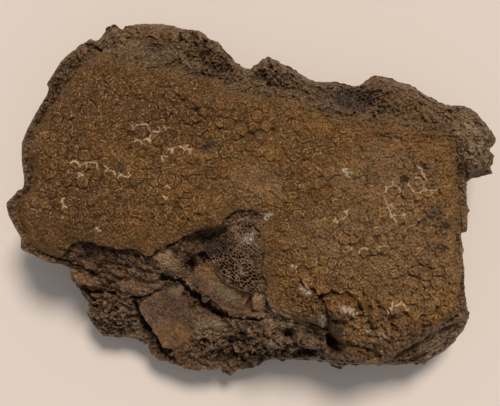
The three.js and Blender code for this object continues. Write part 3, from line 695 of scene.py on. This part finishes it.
# Broken stone in chips and pits, on steps where it is bedded
def rubbleRelief(x, y, z, bedded, deep):
    flat = np.column_stack([x, y])
    ragged = sum(share * inOval(flat, oval, 0.5, 1.1) for *oval, share in zones["ragged"])
    ragged = ragged + 0.75 + 0.5 * deep
    share = 0.75 - 0.2 * ramp(-y, 50, 62)
    steps = bedded * terraces(z, fineRelief["bed"], share, 0.6 * noise(x / 14, y / 9, 21))
    rubble = layered(chips, x, y, fineRelief["chips"]) + roughness(x, y, 17, 3, 2)
    rubble = rubble - np.clip(ragged, 0, 1.2) * layered(pits, x, y, fineRelief["pits"])
    return steps + np.clip(ragged, 0.3, 1.7) * (rubble + layered(waves, x, y, fineRelief["grains"]))


# Mask values where there are no scales, crevices or pores
plain = {"joint": 3, "toCentre": 3, "scaleTone": 0.5, "lime": 0, "relief": 0, "bordering": 0, "crevice": 0,
         "pore": 0}


# Height of the top at any points seen from above, the masks that its materials read, and each point's region
def surfaceAt(xy):
    x, y = xy.T
    toSkin, _ = toLine(skinBorder, xy)
    _, held = toLine(skinEdge, xy)
    toRim, _ = toLine(rimTable[:, :2], xy)
    onSkin = inside(skinBorder, xy) | (toSkin < 0.01)
    rock = ~onSkin
    z, deep, onPlate, onBone, rubbed = groundForm(xy, toSkin, toRim, onSkin, held[:, 2])
    clear = np.clip(toRim / 2.5, 0, 1)
    masks = {name: np.full(len(xy), float(value)) for name, value in plain.items()}
    for name, values in scaleRelief(x[onSkin], y[onSkin], toSkin[onSkin], deep[onSkin]).items():
        masks[name][onSkin] = values
    raised, spongy = masks["relief"].copy(), np.zeros(len(xy))

    bedded = ramp(-y, 12, 24) * rock * (1 - onPlate)
    rubble = rubbleRelief(x[rock], y[rock], z[rock], bedded[rock], deep[rock])
    raised[rock] = rubble * (clear * (1 - onPlate))[rock] + 0.12 * roughness(x[rock], y[rock], 3, 1.8, 2)
    masks["relief"][rock] = 0.4 * raised[rock] + 0.15 + 0.8 * rubbed[rock]
    for *oval, pitch, depth, grain in zones["spongy"]:
        found = np.flatnonzero(rock & (ovalReach(xy, oval) < 1.2))
        u, v = xy[found].T
        share = inOval(xy[found], oval, 0.65, 1.0, 0.4 * roughness(u, v, 28, 3.4, 2))
        share = share * (1 - onPlate[found]) * (1 - ramp(deep[found], 0.3, 0.8))
        along, across = turnedBy(grain, u, v)
        nearest, second, _ = lattice(along / 1.3 + 0.4 * waves(u, v, 2, 140), across, pitch, 120)
        opened = ramp(second - nearest + 0.15 * waves(u, v, 1.8, 131), 0.18, 0.45)
        opened = opened * ramp(roughness(u, v, 133, 6), -1.3, -0.2)
        rough = roughness(u, v, 2, 4) - depth * opened
        raised[found] = mix(raised[found], rough, share)
        masks["relief"][found] = mix(masks["relief"][found], 0.4 * rough + 0.3, share)
        masks["pore"][found] = mix(masks["pore"][found], opened * min(depth, 1), share)
        spongy[found] = np.maximum(spongy[found], share)

    for *oval, pitch, rise in zones["ribbed"]:
        found = np.flatnonzero(ovalReach(xy, oval) < 1.4)
        u, v = xy[found].T
        along, across = turnedBy(oval[4], u, v)
        along, across = along + 2.5 * waves(u, v, 9, 24), across + 1.2 * waves(u, v, 8, 25)
        ribs = noise(along / (7 * pitch), across / pitch, 26)
        ribs = ribs + 0.5 * noise(along / (4 * pitch), 2 * across / pitch, 27)
        share = inOval(xy[found], oval, 0.6, 1.1, 0.2 * waves(u, v, 4, 28))
        raised[found] += rise * ribs * share * clear[found]
    masks["bordering"] = np.exp(-np.clip(toSkin + 1.2 * waves(x, y, 5, 33), 0, None) / 4)
    masks["crevice"] = deep
    region = np.select([onSkin, onBone > 0.5, spongy > 0.5, bedded + onPlate > 0.5], [0, 2, 4, 3], 1)
    return z + raised, masks, region


z, masksOnTop, regionOnTop = surfaceAt(xy)
top = np.column_stack([xy, z])
print("heights of the top worked out")


# Two triangles for each cell of a grid of point numbers
def gridFaces(ids):
    a, b, c, d = ids[:-1, :-1], ids[1:, :-1], ids[1:, 1:], ids[:-1, 1:]
    return np.concatenate([np.stack([a, b, c], -1).reshape(-1, 3), np.stack([a, c, d], -1).reshape(-1, 3)])


# The border of a grid of point numbers, anticlockwise from above
def borderOf(ids):
    return np.concatenate([ids[:-1, 0], ids[-1, :-1], ids[:0:-1, -1], ids[0, :0:-1]])


# Faces between two closed rings: as many points in each, or half as many in the lower one
def bandFaces(upper, lower):
    nextLower = np.roll(lower, -1)
    if len(upper) == len(lower):
        nextUpper = np.roll(upper, -1)
        pair = [(upper, lower, nextLower), (upper, nextLower, nextUpper)]
        return np.concatenate([np.stack(face, -1) for face in pair])
    a, b, c = upper[::2], upper[1::2], np.roll(upper[::2], -1)
    fan = [(a, lower, b), (b, lower, nextLower), (b, nextLower, c)]
    return np.concatenate([np.stack(face, -1) for face in fan])


# Places on the grid at whole or fractional columns and rows
def onGrid(columns, rows):
    i = np.minimum(columns.astype(np.int64), grid.shape[0] - 2)
    j = np.minimum(rows.astype(np.int64), grid.shape[1] - 2)
    u, v = (columns - i)[:, None], (rows - j)[:, None]
    return mix(mix(grid[i, j], grid[i + 1, j], u), mix(grid[i, j + 1], grid[i + 1, j + 1], u), v)


# A closed border shut from below: a ring at the given places, at a share of the border's height, then a fan
def shutBelow(points, border, places, drop):
    ring = np.column_stack([places, points[border, 2] * drop])
    middle = [[*places.mean(axis=0), 4]]
    numbers = len(points) + np.arange(len(border))
    fan = np.stack([numbers, np.full(len(border), len(points) + len(border)), np.roll(numbers, -1)], -1)
    return np.vstack([points, ring, middle]), np.concatenate([bandFaces(border, numbers), fan])


# A closed line drawn soft: each point the mean of its neighbours on both sides
def softened(loop, spread):
    kernel = np.ones(2 * spread + 1) / (2 * spread + 1)
    wrapped = np.vstack([loop[-spread:], loop, loop[:spread]])
    return np.stack([np.convolve(wrapped[:, k], kernel, "valid") for k in (0, 1)], axis=1)


# One ring of the side, from the rim at share 0 to the foot at share 1, bitten in by uneven beds and by chips,
# and how far the stone stands out there, from -1 to 1
def sideRing(rim, waist, foot, share):
    px, py, height = rim.T
    level = height * (1 - share)
    around = np.concatenate([[0], np.cumsum(np.hypot(*np.diff(rim[:, :2], axis=0).T))])
    joined = ramp(np.minimum(around, around[-1] - around), 0, 5)  # no chip crosses the start of the loop
    bed = level / body["bed"] + 1.2 * waves(px, py, 26, 5) + 0.25 * waves(px, py, 6, 6)
    number = np.floor(bed)
    lower, upper = (noise(px / 17, py / 17, number * 7.7 + more) for more in (0, 7.7))
    out = body["ledge"] * mix(lower, upper, ramp(bed - number, 0.7, 1))
    out = out + joined * layered(chips, around, level, body["sideChips"])
    out = out + body["sideRough"] * roughness(px, py, level, 11)
    reach = np.hypot(px, py)
    deepest = reach * (body["hollowInset"] * share - body["footInset"] * share**1.7)
    bite = np.clip((body["sideBite"] - out) * np.sin(np.pi * share) ** 0.5, 0, deepest)
    flat = mix(mix(rim[:, :2], waist, ramp(share, 0, 0.3)), foot[:, :2], share**1.7)
    flat = flat * (1 - bite / reach)[:, None]
    return np.column_stack([flat, mix(height, foot[:, 2], share)]), np.clip(out / 3, -1, 1)


# One ring of the underside, from the foot at share 0 in to the middle at share 1: it drops to the flat base
def baseRing(foot, share):
    flat = foot[:, :2] * mix(1, 0.06, share)
    uneven = np.abs(0.9 * roughness(*flat.T, 15, 9)) * ramp(share, 0.1, 0.3)
    return np.column_stack([flat, foot[:, 2] * (1 - ramp(share, 0, 0.25)) + uneven]), np.zeros(len(foot))


# The closed body below the top: a hollow under the top's pieces, rings down the side, rings across the
# underside, and a fan; and how far the stone stands out at each point
def closedBody():
    border = borderOf(np.arange(len(top)).reshape(grid.shape[:2]))
    rim = top[border]
    ring = np.arange(len(rim))
    inner = [mix(at, body[name] / 2, body["hollowInset"])
             for at, name in zip(divmod(border, grid.shape[1]), ("columns", "rows"))]
    hollow, lid = shutBelow(rim, ring, onGrid(*inner), body["hollowLid"])
    waist, soft = (softened(rim, body[name])[::2] for name in ("waist", "foot"))
    lift = body["footLift"] * (1 + 0.6 * waves(*soft.T, 18, 7))
    foot = np.column_stack([soft * (1 - body["footInset"]), lift])
    down, across = (np.linspace(0, 1, body[name] + 1)[1:] for name in ("sideRings", "baseRings"))
    rings = [sideRing(rim[::2], waist, foot, share) for share in down]
    foot = rings[-1][0][::2]
    rings += [baseRing(foot, share) for share in across]
    total, faces = len(hollow), [lid[:, ::-1]]
    for points, _ in rings:
        numbers = total + np.arange(len(points))
        faces.append(bandFaces(ring, numbers))
        ring, total = numbers, total + len(points)
    faces.append(np.stack([ring, np.full(len(ring), total), np.roll(ring, -1)], -1))
    points, out = zip((hollow, np.zeros(len(hollow))), *rings, ([[0, 0, 0]], [0]))
    return np.vstack(points), np.concatenate(faces), np.concatenate(out)


# Stains and wear, as ovals
stains = {
    # ochre: iron oxide that shows yellow to orange
    "ochre": [(-85, 57, 18, 6, 40), (-99, 38, 7, 16, 10), (-27, 49.5, 5.5, 4), (36.5, 40, 7, 4.5),
              (90, 26, 12, 5), (75, 28, 10, 4), (98, 5, 5, 22), (100, -25, 4.5, 20),
              (80, -40.5, 4.4, 4), (93.5, -40, 4.4, 4), (-60, 62, 14, 6), (85, 4, 8, 6),
              (-86, -37, 8, 3, -20), (-38, -70, 10, 8), (-20, -36, 8, 4, -40), (2, -50, 6, 4),
              (70, 55, 22, 5, -20), (-48, 86, 10, 4), (84, -52, 8, 6), (96, -48, 7, 9),
              (107.5, -8, 3.4, 36), (52, -65, 11, 7)],
    # dark: manganese and soot-black oxide
    "dark": [(-64.5, 17, 2.4, 2), (-19, 15.5, 2.2, 2), (81, 17, 3, 2.5), (86, 19, 2.6, 2),
             (76, 12, 2.5, 2), (91, -5, 5, 4), (97, -13, 4, 4), (86, -10, 3, 2),
             (-20, 28, 4, 2.4, 40), (-58, 8, 2, 1.6), (80, 24, 2, 2), (95, -22, 5, 2.5),
             (52, 52, 9, 6), (-18, 68, 7, 3.5, -30), (-47.5, 78, 5, 3.5, -20), (-80, -28, 12, 2.5, -10),
             (40, -57, 12, 2.5, -50), (-20, -21.5, 11, 5, 14), (53, 53, 13, 9, -10)],
    # pale: lime in the joints and on worn crowns
    "pale": [(-50, 35, 8.5, 3.5), (-35, 26, 6, 4), (-80, 19, 16, 5, -12), (-73, -12, 3, 2.4),
             (72, 8, 5, 8), (85, 12, 7, 5), (70, -9, 8, 4.5, 15), (56, -22, 6, 2.5),
             (9, -6, 3.6, 3), (48, -53, 5, 2, -15), (62, -29, 3, 2), (84, -53, 3, 2),
             (10, -13, 2.6, 4), (-98, -2, 2, 3.5, 40), (31, 0, 2, 3), (20, -27, 4, 2.5),
             (-43, -30, 5, 4, -25), (36, -56, 3, 5)],
    # dustAndPaintedLight: pale silt in the pores of the skin and over the broken stone, and painted light
    # that makes the near slopes, which face away from the sun, paler
    "dustAndPaintedLight": [(50, -20, 26, 18), (78, -25, 28, 28), (70, 12, 26, 16), (4, 8, 13, 9),
             (100, -75, 20, 8, 35), (54, -83, 20, 5), (24, -61, 24, 8, -18), (-18, -68, 10, 9),
             (62, -64, 26, 10, -15), (-67, -62, 14, 9), (-12, -45, 9, 4, -30), (5, -50, 4, 5),
             (17, -73, 28, 8), (96, -70, 16, 8, 35), (52, -82, 24, 7), (113, 30, 9, 12),
             (-63, -68, 16, 9), (-40, -42, 8, 5, -20)],
    # mauve: brown-violet oxide of the broken stone
    "mauve": [(34, 53, 16, 8, -8), (46, 58, 12, 6), (-15, 72, 10, 7, -30), (64, 58, 14, 6, -15),
              (-38, -56, 8, 6), (-72, -28, 18, 6, -10)],
    # paintedShine: painted highlights, pale colour on worn patches where they shine
    "paintedShine": [(48.5, -52.5, 5, 1.9, -18), (27, -42.5, 3, 2, -30), (36, -58.5, 2, 3, 20),
              (21.5, -31.5, 2.2, 1.5, -20), (8.4, -6.7, 4, 2), (58.7, -63, 2.4, 1.4),
              (-75, -13, 2.2, 1.5), (48.5, 15, 2, 1.7), (66, -65.5, 3, 2, -20), (5, -48, 3.4, 3),
              (-1, -17.5, 4, 2.5, 50)],
    # russet: deeper brown where more iron has gathered
    "russet": [(-56, 50, 40, 18, -8), (-85, 5, 26, 20), (-95, 40, 12, 26, 20), (-47, 79, 6, 4),
               (-84, 5, 24, 9)],
    # grey: silt that has lost its iron
    "grey": [(-45, 71, 26, 7, -12), (-5, 62, 20, 6, -12), (24, 58, 18, 8, -10), (-42, -30, 8, 6),
             (112, 35, 9, 14), (45, 50, 14, 6), (86, 46, 9, 5), (-13, -45, 9, 4, -30),
             (112, -20, 3, 34)],
}


# 1 within the ovals, fading out over a border that noise bends
def spots(flat, places):
    bend = 0.35 * waves(*flat.T, 4, 77) + 0.2 * waves(*flat.T, 1.7, 78)
    return np.max([inOval(flat, oval, 0.5, 1.5, bend) for oval in places], axis=0)


frameMiddle = (np.array(cadBox[0][:2]) + np.array(cadBox[1][:2])) / 2
allRim = np.array([point for edge in outline.values() for point in edge])[:, :2] * mm
shift = frameMiddle - (allRim.min(0) + allRim.max(0)) / 2


# An object in the scene with the given data
def newObject(name, data):
    made = bpy.data.objects.new(name, data)
    bpy.context.collection.objects.link(made)
    return made


# A mesh object from points in millimetres and triangles, with an attribute for each mask and a material for
# each face by the region of its points. Broken stone keeps its facets, skin and bone are smooth.
def makePiece(name, points, faces, masks, region):
    placed = points * mm
    placed[:, :2] += shift
    mesh = bpy.data.meshes.new(name)
    mesh.vertices.add(len(placed))
    mesh.vertices.foreach_set("co", placed.ravel())
    mesh.loops.add(3 * len(faces))
    mesh.loops.foreach_set("vertex_index", faces.ravel())
    mesh.polygons.add(len(faces))
    mesh.polygons.foreach_set("loop_start", np.arange(0, 3 * len(faces), 3))
    number = np.sort(region[faces], axis=1)[:, 1].astype(np.int32)
    mesh.polygons.foreach_set("material_index", number)
    mesh.polygons.foreach_set("use_smooth", np.isin(number, (0, 2, 4)))
    mesh.update(calc_edges=True)
    masks.update({stain: spots(points[:, :2], places) for stain, places in stains.items()})
    for mask, values in masks.items():
        attribute = mesh.attributes.new(mask, "FLOAT", "POINT")
        attribute.data.foreach_set("value", values.astype(np.float32))
    piece = newObject(name, mesh)
    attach(piece, "root")
    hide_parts("skin_slab")
    print(name, "made:", len(points), "points,", len(faces), "triangles")
    return piece


# One piece of the top: a band of its columns, shut from below
def makeTop(name, part):
    columns = body["columns"] // body["topPieces"]
    ids = np.arange(len(top)).reshape(grid.shape[:2])[part * columns:(part + 1) * columns + 1]
    local = np.arange(ids.size).reshape(ids.shape)
    border = borderOf(local)
    column, row = divmod(border, grid.shape[1])
    inset = 1.1 * body["hollowInset"]
    outer = inset * body["columns"] / 2
    low, high = (outer if part == end else body["seamLean"] for end in (0, body["topPieces"] - 1))
    column = part * columns + mix(low, columns - high, column / columns)
    inner = onGrid(column, mix(row, body["rows"] / 2, inset))
    points, under = shutBelow(top[ids.ravel()], border, inner, body["topLid"])
    rest = (0, len(points) - ids.size)
    masks = {key: np.pad(masksOnTop[key][ids.ravel()], rest, constant_values=v) for key, v in plain.items()}
    region = np.pad(regionOnTop[ids.ravel()], rest, constant_values=3)
    return makePiece(name, points, np.concatenate([gridFaces(local), under]), masks, region)


# The body below the top, all of bedded stone
def makeBody(name):
    points, faces, out = closedBody()
    masks = {mask: np.full(len(points), float(v)) for mask, v in plain.items()}
    masks.update(relief=out, crevice=ramp(-out, 0.5, 1))
    return makePiece(name, points, faces, masks, np.full(len(points), 3))


topNames = ("topLeft", "topMiddleLeft", "topMiddleRight", "topRight")
pieces = [makeTop(name, part) for part, name in enumerate(topNames)]
pieces.append(makeBody("slabBody"))


# An sRGB hex colour as linear red, green, blue and alpha
def linear(hexColour):
    c = np.array([int(hexColour[k:k + 2], 16) for k in (1, 3, 5)]) / 255
    return (*np.where(c <= 0.04045, c / 12.92, ((c + 0.055) / 1.055) ** 2.4), 1.0)


# Adds a node, sets its settings, fills its inputs with values or with links, and gives one of its outputs
def add(tree, kind, inputs, output=0, **settings):
    made = tree.nodes.new("ShaderNode" + kind)
    for name, value in settings.items():
        setattr(made, name, value)
    for name, value in inputs.items():
        if isinstance(value, bpy.types.NodeSocket):
            tree.links.new(value, made.inputs[name])
        else:
            made.inputs[name].default_value = value
    return made.outputs[output]


# A cover lies over the colour below it where its masks, each ramped from one value to another, and its cloud
# of noise allow: (colour, strength, masks, cloud size in millimetres, cloud range). Stains:
silt = ("#746345", 0.65, [("grey", 0.1, 0.9)], 6, (0.2, 0.5))
borderBrown = ("#5a4326", 0.6, [("bordering", 0.15, 0.8)], 5, (0.2, 0.5))
ochre = ("#93671f", 0.55, [("ochre", 0.1, 0.9)], 4, (0.32, 0.62))
# pale silt, and painted light on the near slopes that face away from the sun
dustAndPaintedLight = ("#987859", 0.5, [("dustAndPaintedLight", 0.0, 0.9)], 9, (0.1, 0.45))
rockDustAndPaintedLight = ("#b59c80", 0.9, [("dustAndPaintedLight", 0.0, 0.9)], 5, (0.25, 0.6))
boneDustAndPaintedLight = ("#8f7b5f", 0.5, [("dustAndPaintedLight", 0.1, 0.9)], 3, (0.2, 0.5))
mauve = ("#432c25", 0.7, [("mauve", 0.1, 0.9)], 4, (0.3, 0.6))
russet = ("#3a1f02", 0.82, [("russet", 0, 0.9)], 9, (0.1, 0.4))
russetGrains = ("#5c3403", 0.4, [("russet", 0, 0.9)], 9, (0.1, 0.4))
lime = ("#ccb48f", 0.85, [("lime", 0.1, 0.6), ("joint", 0.55, 0.25)], 1.0, (0.36, 0.5))
limeFilm = ("#a8876a", 0.6, [("pale", 0.1, 0.8)], 3, (0.3, 0.6))
oxide = ("#1d1511", 0.44, [("dark", 0.1, 0.9)], 2.2, (0.38, 0.6))
skinOxide = ("#1c1512", 0.7, [("dark", 0.1, 0.9)], 2.2, (0.36, 0.54))
boneOxide = ("#1d1511", 0.7, [("dark", 0.1, 0.9)], 3, (0.2, 0.4))
# painted highlights: pale colour where worn patches shine, on skin, spongy bone and rind
skinPaintedShine = ("#d2c3b0", 0.75, [("paintedShine", 0.1, 0.9)], 1.5, (0.38, 0.6))
bonePaintedShine = ("#c4b8aa", 0.7, [("paintedShine", 0.1, 0.9)], 1.0, (0.46, 0.58))
rindPaintedShine = ("#b8936c", 0.7, [("paintedShine", 0.1, 0.9)], 2, (0.36, 0.6))
# Patches anywhere, from rust to sand, and on single grains painted highlights and painted shade, as if each
# faced the light or turned from it:
blotches = ("#361f0e", 0.35, [], 3.2, (0.5, 0.68))
rust = ("#74401f", 0.15, [], 2.6, (0.52, 0.64))
rustyPatches = ("#5e3c22", 0.4, [], 7, (0.48, 0.62))
olive = ("#655a26", 0.28, [], 5, (0.48, 0.62))
# painted highlights and painted shade on single grains, at random
paintedHighlightGrains = ("#a38055", 0.55, [], 0.7, (0.5, 0.66))
paintedShadeGrains = ("#2e1404", 0.75, [], 0.7, (0.5, 0.34))
# the same painted highlights and painted shade on the grains of the bone
paintedHighlightBoneGrains = ("#8e7157", 0.5, [], 0.8, (0.5, 0.65))
paintedShadeBoneGrains = ("#331b0e", 0.55, [], 0.8, (0.5, 0.35))
paleSand = ("#926b38", 0.35, [], 1.5, (0.52, 0.7))
darkSand = ("#381603", 0.5, [], 1.5, (0.48, 0.3))
rockSand = ("#a98e74", 0.5, [], 1.6, (0.5, 0.65))
rockGaps = ("#22140d", 0.45, [], 1.6, (0.5, 0.35))
# What follows the relief: wear on what stands up, a painted highlight on the scales' lips, paler scale
# middles, darker colour where it lies low, dark joints, and painted shade in pores and crevices:
worn = ("#a0743a", 0.42, [("relief", 0.2, 1.0)], 3, (0.3, 0.6))
wornBone = ("#a5784c", 0.6, [("relief", 0.3, 0.8)], 3, (0.3, 0.6))
# painted highlight: pale colour on the lip inside each scale's outline, where light catches it
lip = ("#bd965c", 0.7, [("joint", 0.3, 0.6), ("joint", 1.1, 0.8)], 2.4, (0.51, 0.62))
crown = ("#aa844c", 0.35, [("toCentre", 1.0, 0.5)], 6, (0.42, 0.6))
# darker colour where the relief lies low
darkerWhereLow = ("#2c1203", 0.4, [("relief", 0.1, -0.8)], 3, (0.1, 0.5))
groove = ("#281104", 0.42, [("joint", 0.35, 0.1)], 2.2, (0.47, 0.62))
# painted shade: dark colour in the open pores of the spongy bone
paintedPoreShade = ("#150d09", 0.8, [("pore", 0.3, 0.8)], 3, (0.0, 0.2))
# painted shade: darker colour in crevices, holes and bitten-in sides, where shade falls
paintedCreviceShade = ("#2a1a12", 0.3, [("crevice", 0.1, 0.9)], 4, (0.1, 0.4))
rockCovers = [silt, borderBrown, ochre, rockDustAndPaintedLight, mauve, rustyPatches, blotches, russet, worn, rockSand,
              rockGaps, darkerWhereLow, paintedHighlightGrains, paintedShadeGrains, oxide, paintedCreviceShade]

# Ironstone is fine sand and silt bound by iron oxide: matt, ochre-brown where it has weathered, darker and
# greyer where it has broken, with a gritty surface whose grains each catch the light. Fossil bone in it is
# brown too: spongy inside, with struts round open pores, and smooth on its outer rind. Grit is its size and
# height in millimetres, and tone is how far one scale differs from the next.
looks = {
    "scaledIronstone": {
        "colours": ("#603d0e", "#744a16"), "patch": 14,
        "covers": [silt, borderBrown, ochre, dustAndPaintedLight, russet, blotches, rust, olive, worn, russetGrains,
                   paleSand, darkSand, darkerWhereLow, lip, crown, groove, paintedHighlightGrains, paintedShadeGrains, skinOxide, skinPaintedShine,
                   lime, paintedCreviceShade],
        "grit": (0.585, 0.85), "tone": 0.08, "roughness": (0.4, 0.62)},
    "brokenIronstone": {
        "colours": ("#5b4530", "#8b7051"), "patch": 7, "covers": rockCovers,
        "grit": (0.72, 1.5), "tone": 0, "roughness": (0.45, 0.7)},
    "corticalBone": {
        "colours": ("#50382b", "#6d533d"), "patch": 7,
        "covers": [silt, ochre, mauve, boneDustAndPaintedLight, blotches, rust, wornBone, rindPaintedShine, paintedHighlightBoneGrains, paintedShadeBoneGrains,
                   paintedCreviceShade],
        "grit": (0.63, 0.8), "tone": 0, "roughness": (0.5, 0.7)},
    "beddedIronstone": {
        "colours": ("#5b4331", "#8d6d53"), "patch": 5, "covers": rockCovers,
        "grit": (0.72, 1.5), "tone": 0, "roughness": (0.45, 0.7)},
    "spongyBone": {
        "colours": ("#584132", "#826651"), "patch": 5,
        "covers": [silt, rust, limeFilm, paintedHighlightGrains, paintedShadeGrains, bonePaintedShine, boneOxide, paintedPoreShade, paintedCreviceShade],
        "grit": (0.63, 0.5), "tone": 0, "roughness": (0.45, 0.7)},
}


# Two browns in patches, the covers over them and the scales' tone, then grit in bump and shine
def makeStone(name, look):
    stone = bpy.data.materials.new(name)
    stone.use_nodes = True
    tree = stone.node_tree
    shader = tree.nodes["Principled BSDF"].inputs
    place = add(tree, "TexCoord", {}, "Object")
    low, high = look["colours"]
    colour = linear(low)
    patches = (high, 1.0, [], look["patch"], (0.38, 0.62))
    for cover, strength, masks, size, (empty, full) in [patches, *look["covers"]]:
        cloud = add(tree, "TexNoise", {"Vector": place, "Scale": 1 / (size * mm), "Detail": 3.0}, "Fac")
        spread = {"Value": cloud, "From Min": empty, "From Max": full, "To Max": strength}
        amount = add(tree, "MapRange", spread)
        for mask, off, on in masks:
            value = add(tree, "Attribute", {}, "Fac", attribute_name=mask)
            part = add(tree, "MapRange", {"Value": value, "From Min": off, "From Max": on})
            amount = add(tree, "Math", {0: amount, 1: part}, operation="MULTIPLY")
        colour = add(tree, "Mix", {0: amount, 6: colour, 7: linear(cover)}, 2, data_type="RGBA")
    tone = add(tree, "Attribute", {}, "Fac", attribute_name="scaleTone")
    tone = add(tree, "MapRange", {"Value": tone, "To Min": 1 - look["tone"], "To Max": 1 + look["tone"]})
    colour = add(tree, "Mix", {0: 1.0, 6: colour, 7: tone}, 2, data_type="RGBA", blend_type="MULTIPLY")
    tree.links.new(colour, shader["Base Color"])
    size, depth = look["grit"]
    fine = add(tree, "TexNoise", {"Vector": place, "Scale": 1 / (size * mm), "Detail": 3.0}, "Fac")
    height = add(tree, "Math", {0: fine, 1: depth}, operation="MULTIPLY")
    bump = add(tree, "Bump", {"Height": height, "Strength": 1.0, "Distance": mm})
    tree.links.new(bump, shader["Normal"])
    smooth, rough = look["roughness"]
    spread = {"Value": fine, "From Min": 0.35, "From Max": 0.65, "To Min": rough, "To Max": smooth}
    tree.links.new(add(tree, "MapRange", spread), shader["Roughness"])
    shader["Specular IOR Level"].default_value = 0.3  # dry stone shines less than the default
    return stone


# in the order of the regions' numbers
stones = [makeStone(name, look) for name, look in looks.items()]
for piece in pieces:
    for stone in stones:
        piece.data.materials.append(stone)
print("materials made:", list(looks))

studio = {
    "floor": "#ded4cc", "floorSize": 6.0,
    "sunTowards": (0.17, 0.56, 0.81), "sunStrength": 2.82, "sunAngle": 0.3, "sunColour": "#fff3e6",
    "skyColour": "#f1f1f2", "skyStrength": 0.345,
    "cameraHeight": 0.4667, "lens": 60,
}


# A matt card to lie on, one soft sun, an even sky, and a camera straight above
def makeStudio():
    size = studio["floorSize"] / 2
    mesh = bpy.data.meshes.new("floor")
    corners = [(x * size, y * size, 0) for x, y in ((-1, -1), (1, -1), (1, 1), (-1, 1))]
    mesh.from_pydata(corners, [], [(0, 1, 2, 3)])
    floor = newObject("floor", mesh)
    card = bpy.data.materials.new("paintedCard")  # pale and plain, so it only catches the shadow
    card.use_nodes = True
    paint = card.node_tree.nodes["Principled BSDF"].inputs
    paint["Base Color"].default_value = linear(studio["floor"])
    paint["Roughness"].default_value = 0.9
    mesh.materials.append(card)

    sun = newObject("sun", bpy.data.lights.new("sun", "SUN"))
    sun.data.energy = studio["sunStrength"]
    sun.data.angle = studio["sunAngle"]
    sun.data.color = linear(studio["sunColour"])[:3]
    sun.rotation_euler = Vector([-v for v in studio["sunTowards"]]).to_track_quat("-Z", "Y").to_euler()

    sky = bpy.data.worlds.new("sky")
    sky.use_nodes = True
    light = sky.node_tree.nodes["Background"].inputs
    light["Color"].default_value = linear(studio["skyColour"])
    light["Strength"].default_value = studio["skyStrength"]
    bpy.context.scene.world = sky
    bpy.context.scene.view_settings.view_transform = "Standard"

    camera = newObject("camera", bpy.data.cameras.new("camera"))
    camera.data.lens = studio["lens"]
    camera.data.sensor_width = 36
    camera.data.clip_start = 0.01
    camera.location = (shift[0], shift[1], studio["cameraHeight"])
    bpy.context.scene.camera = camera


makeStudio()
print("floor, light and camera made")
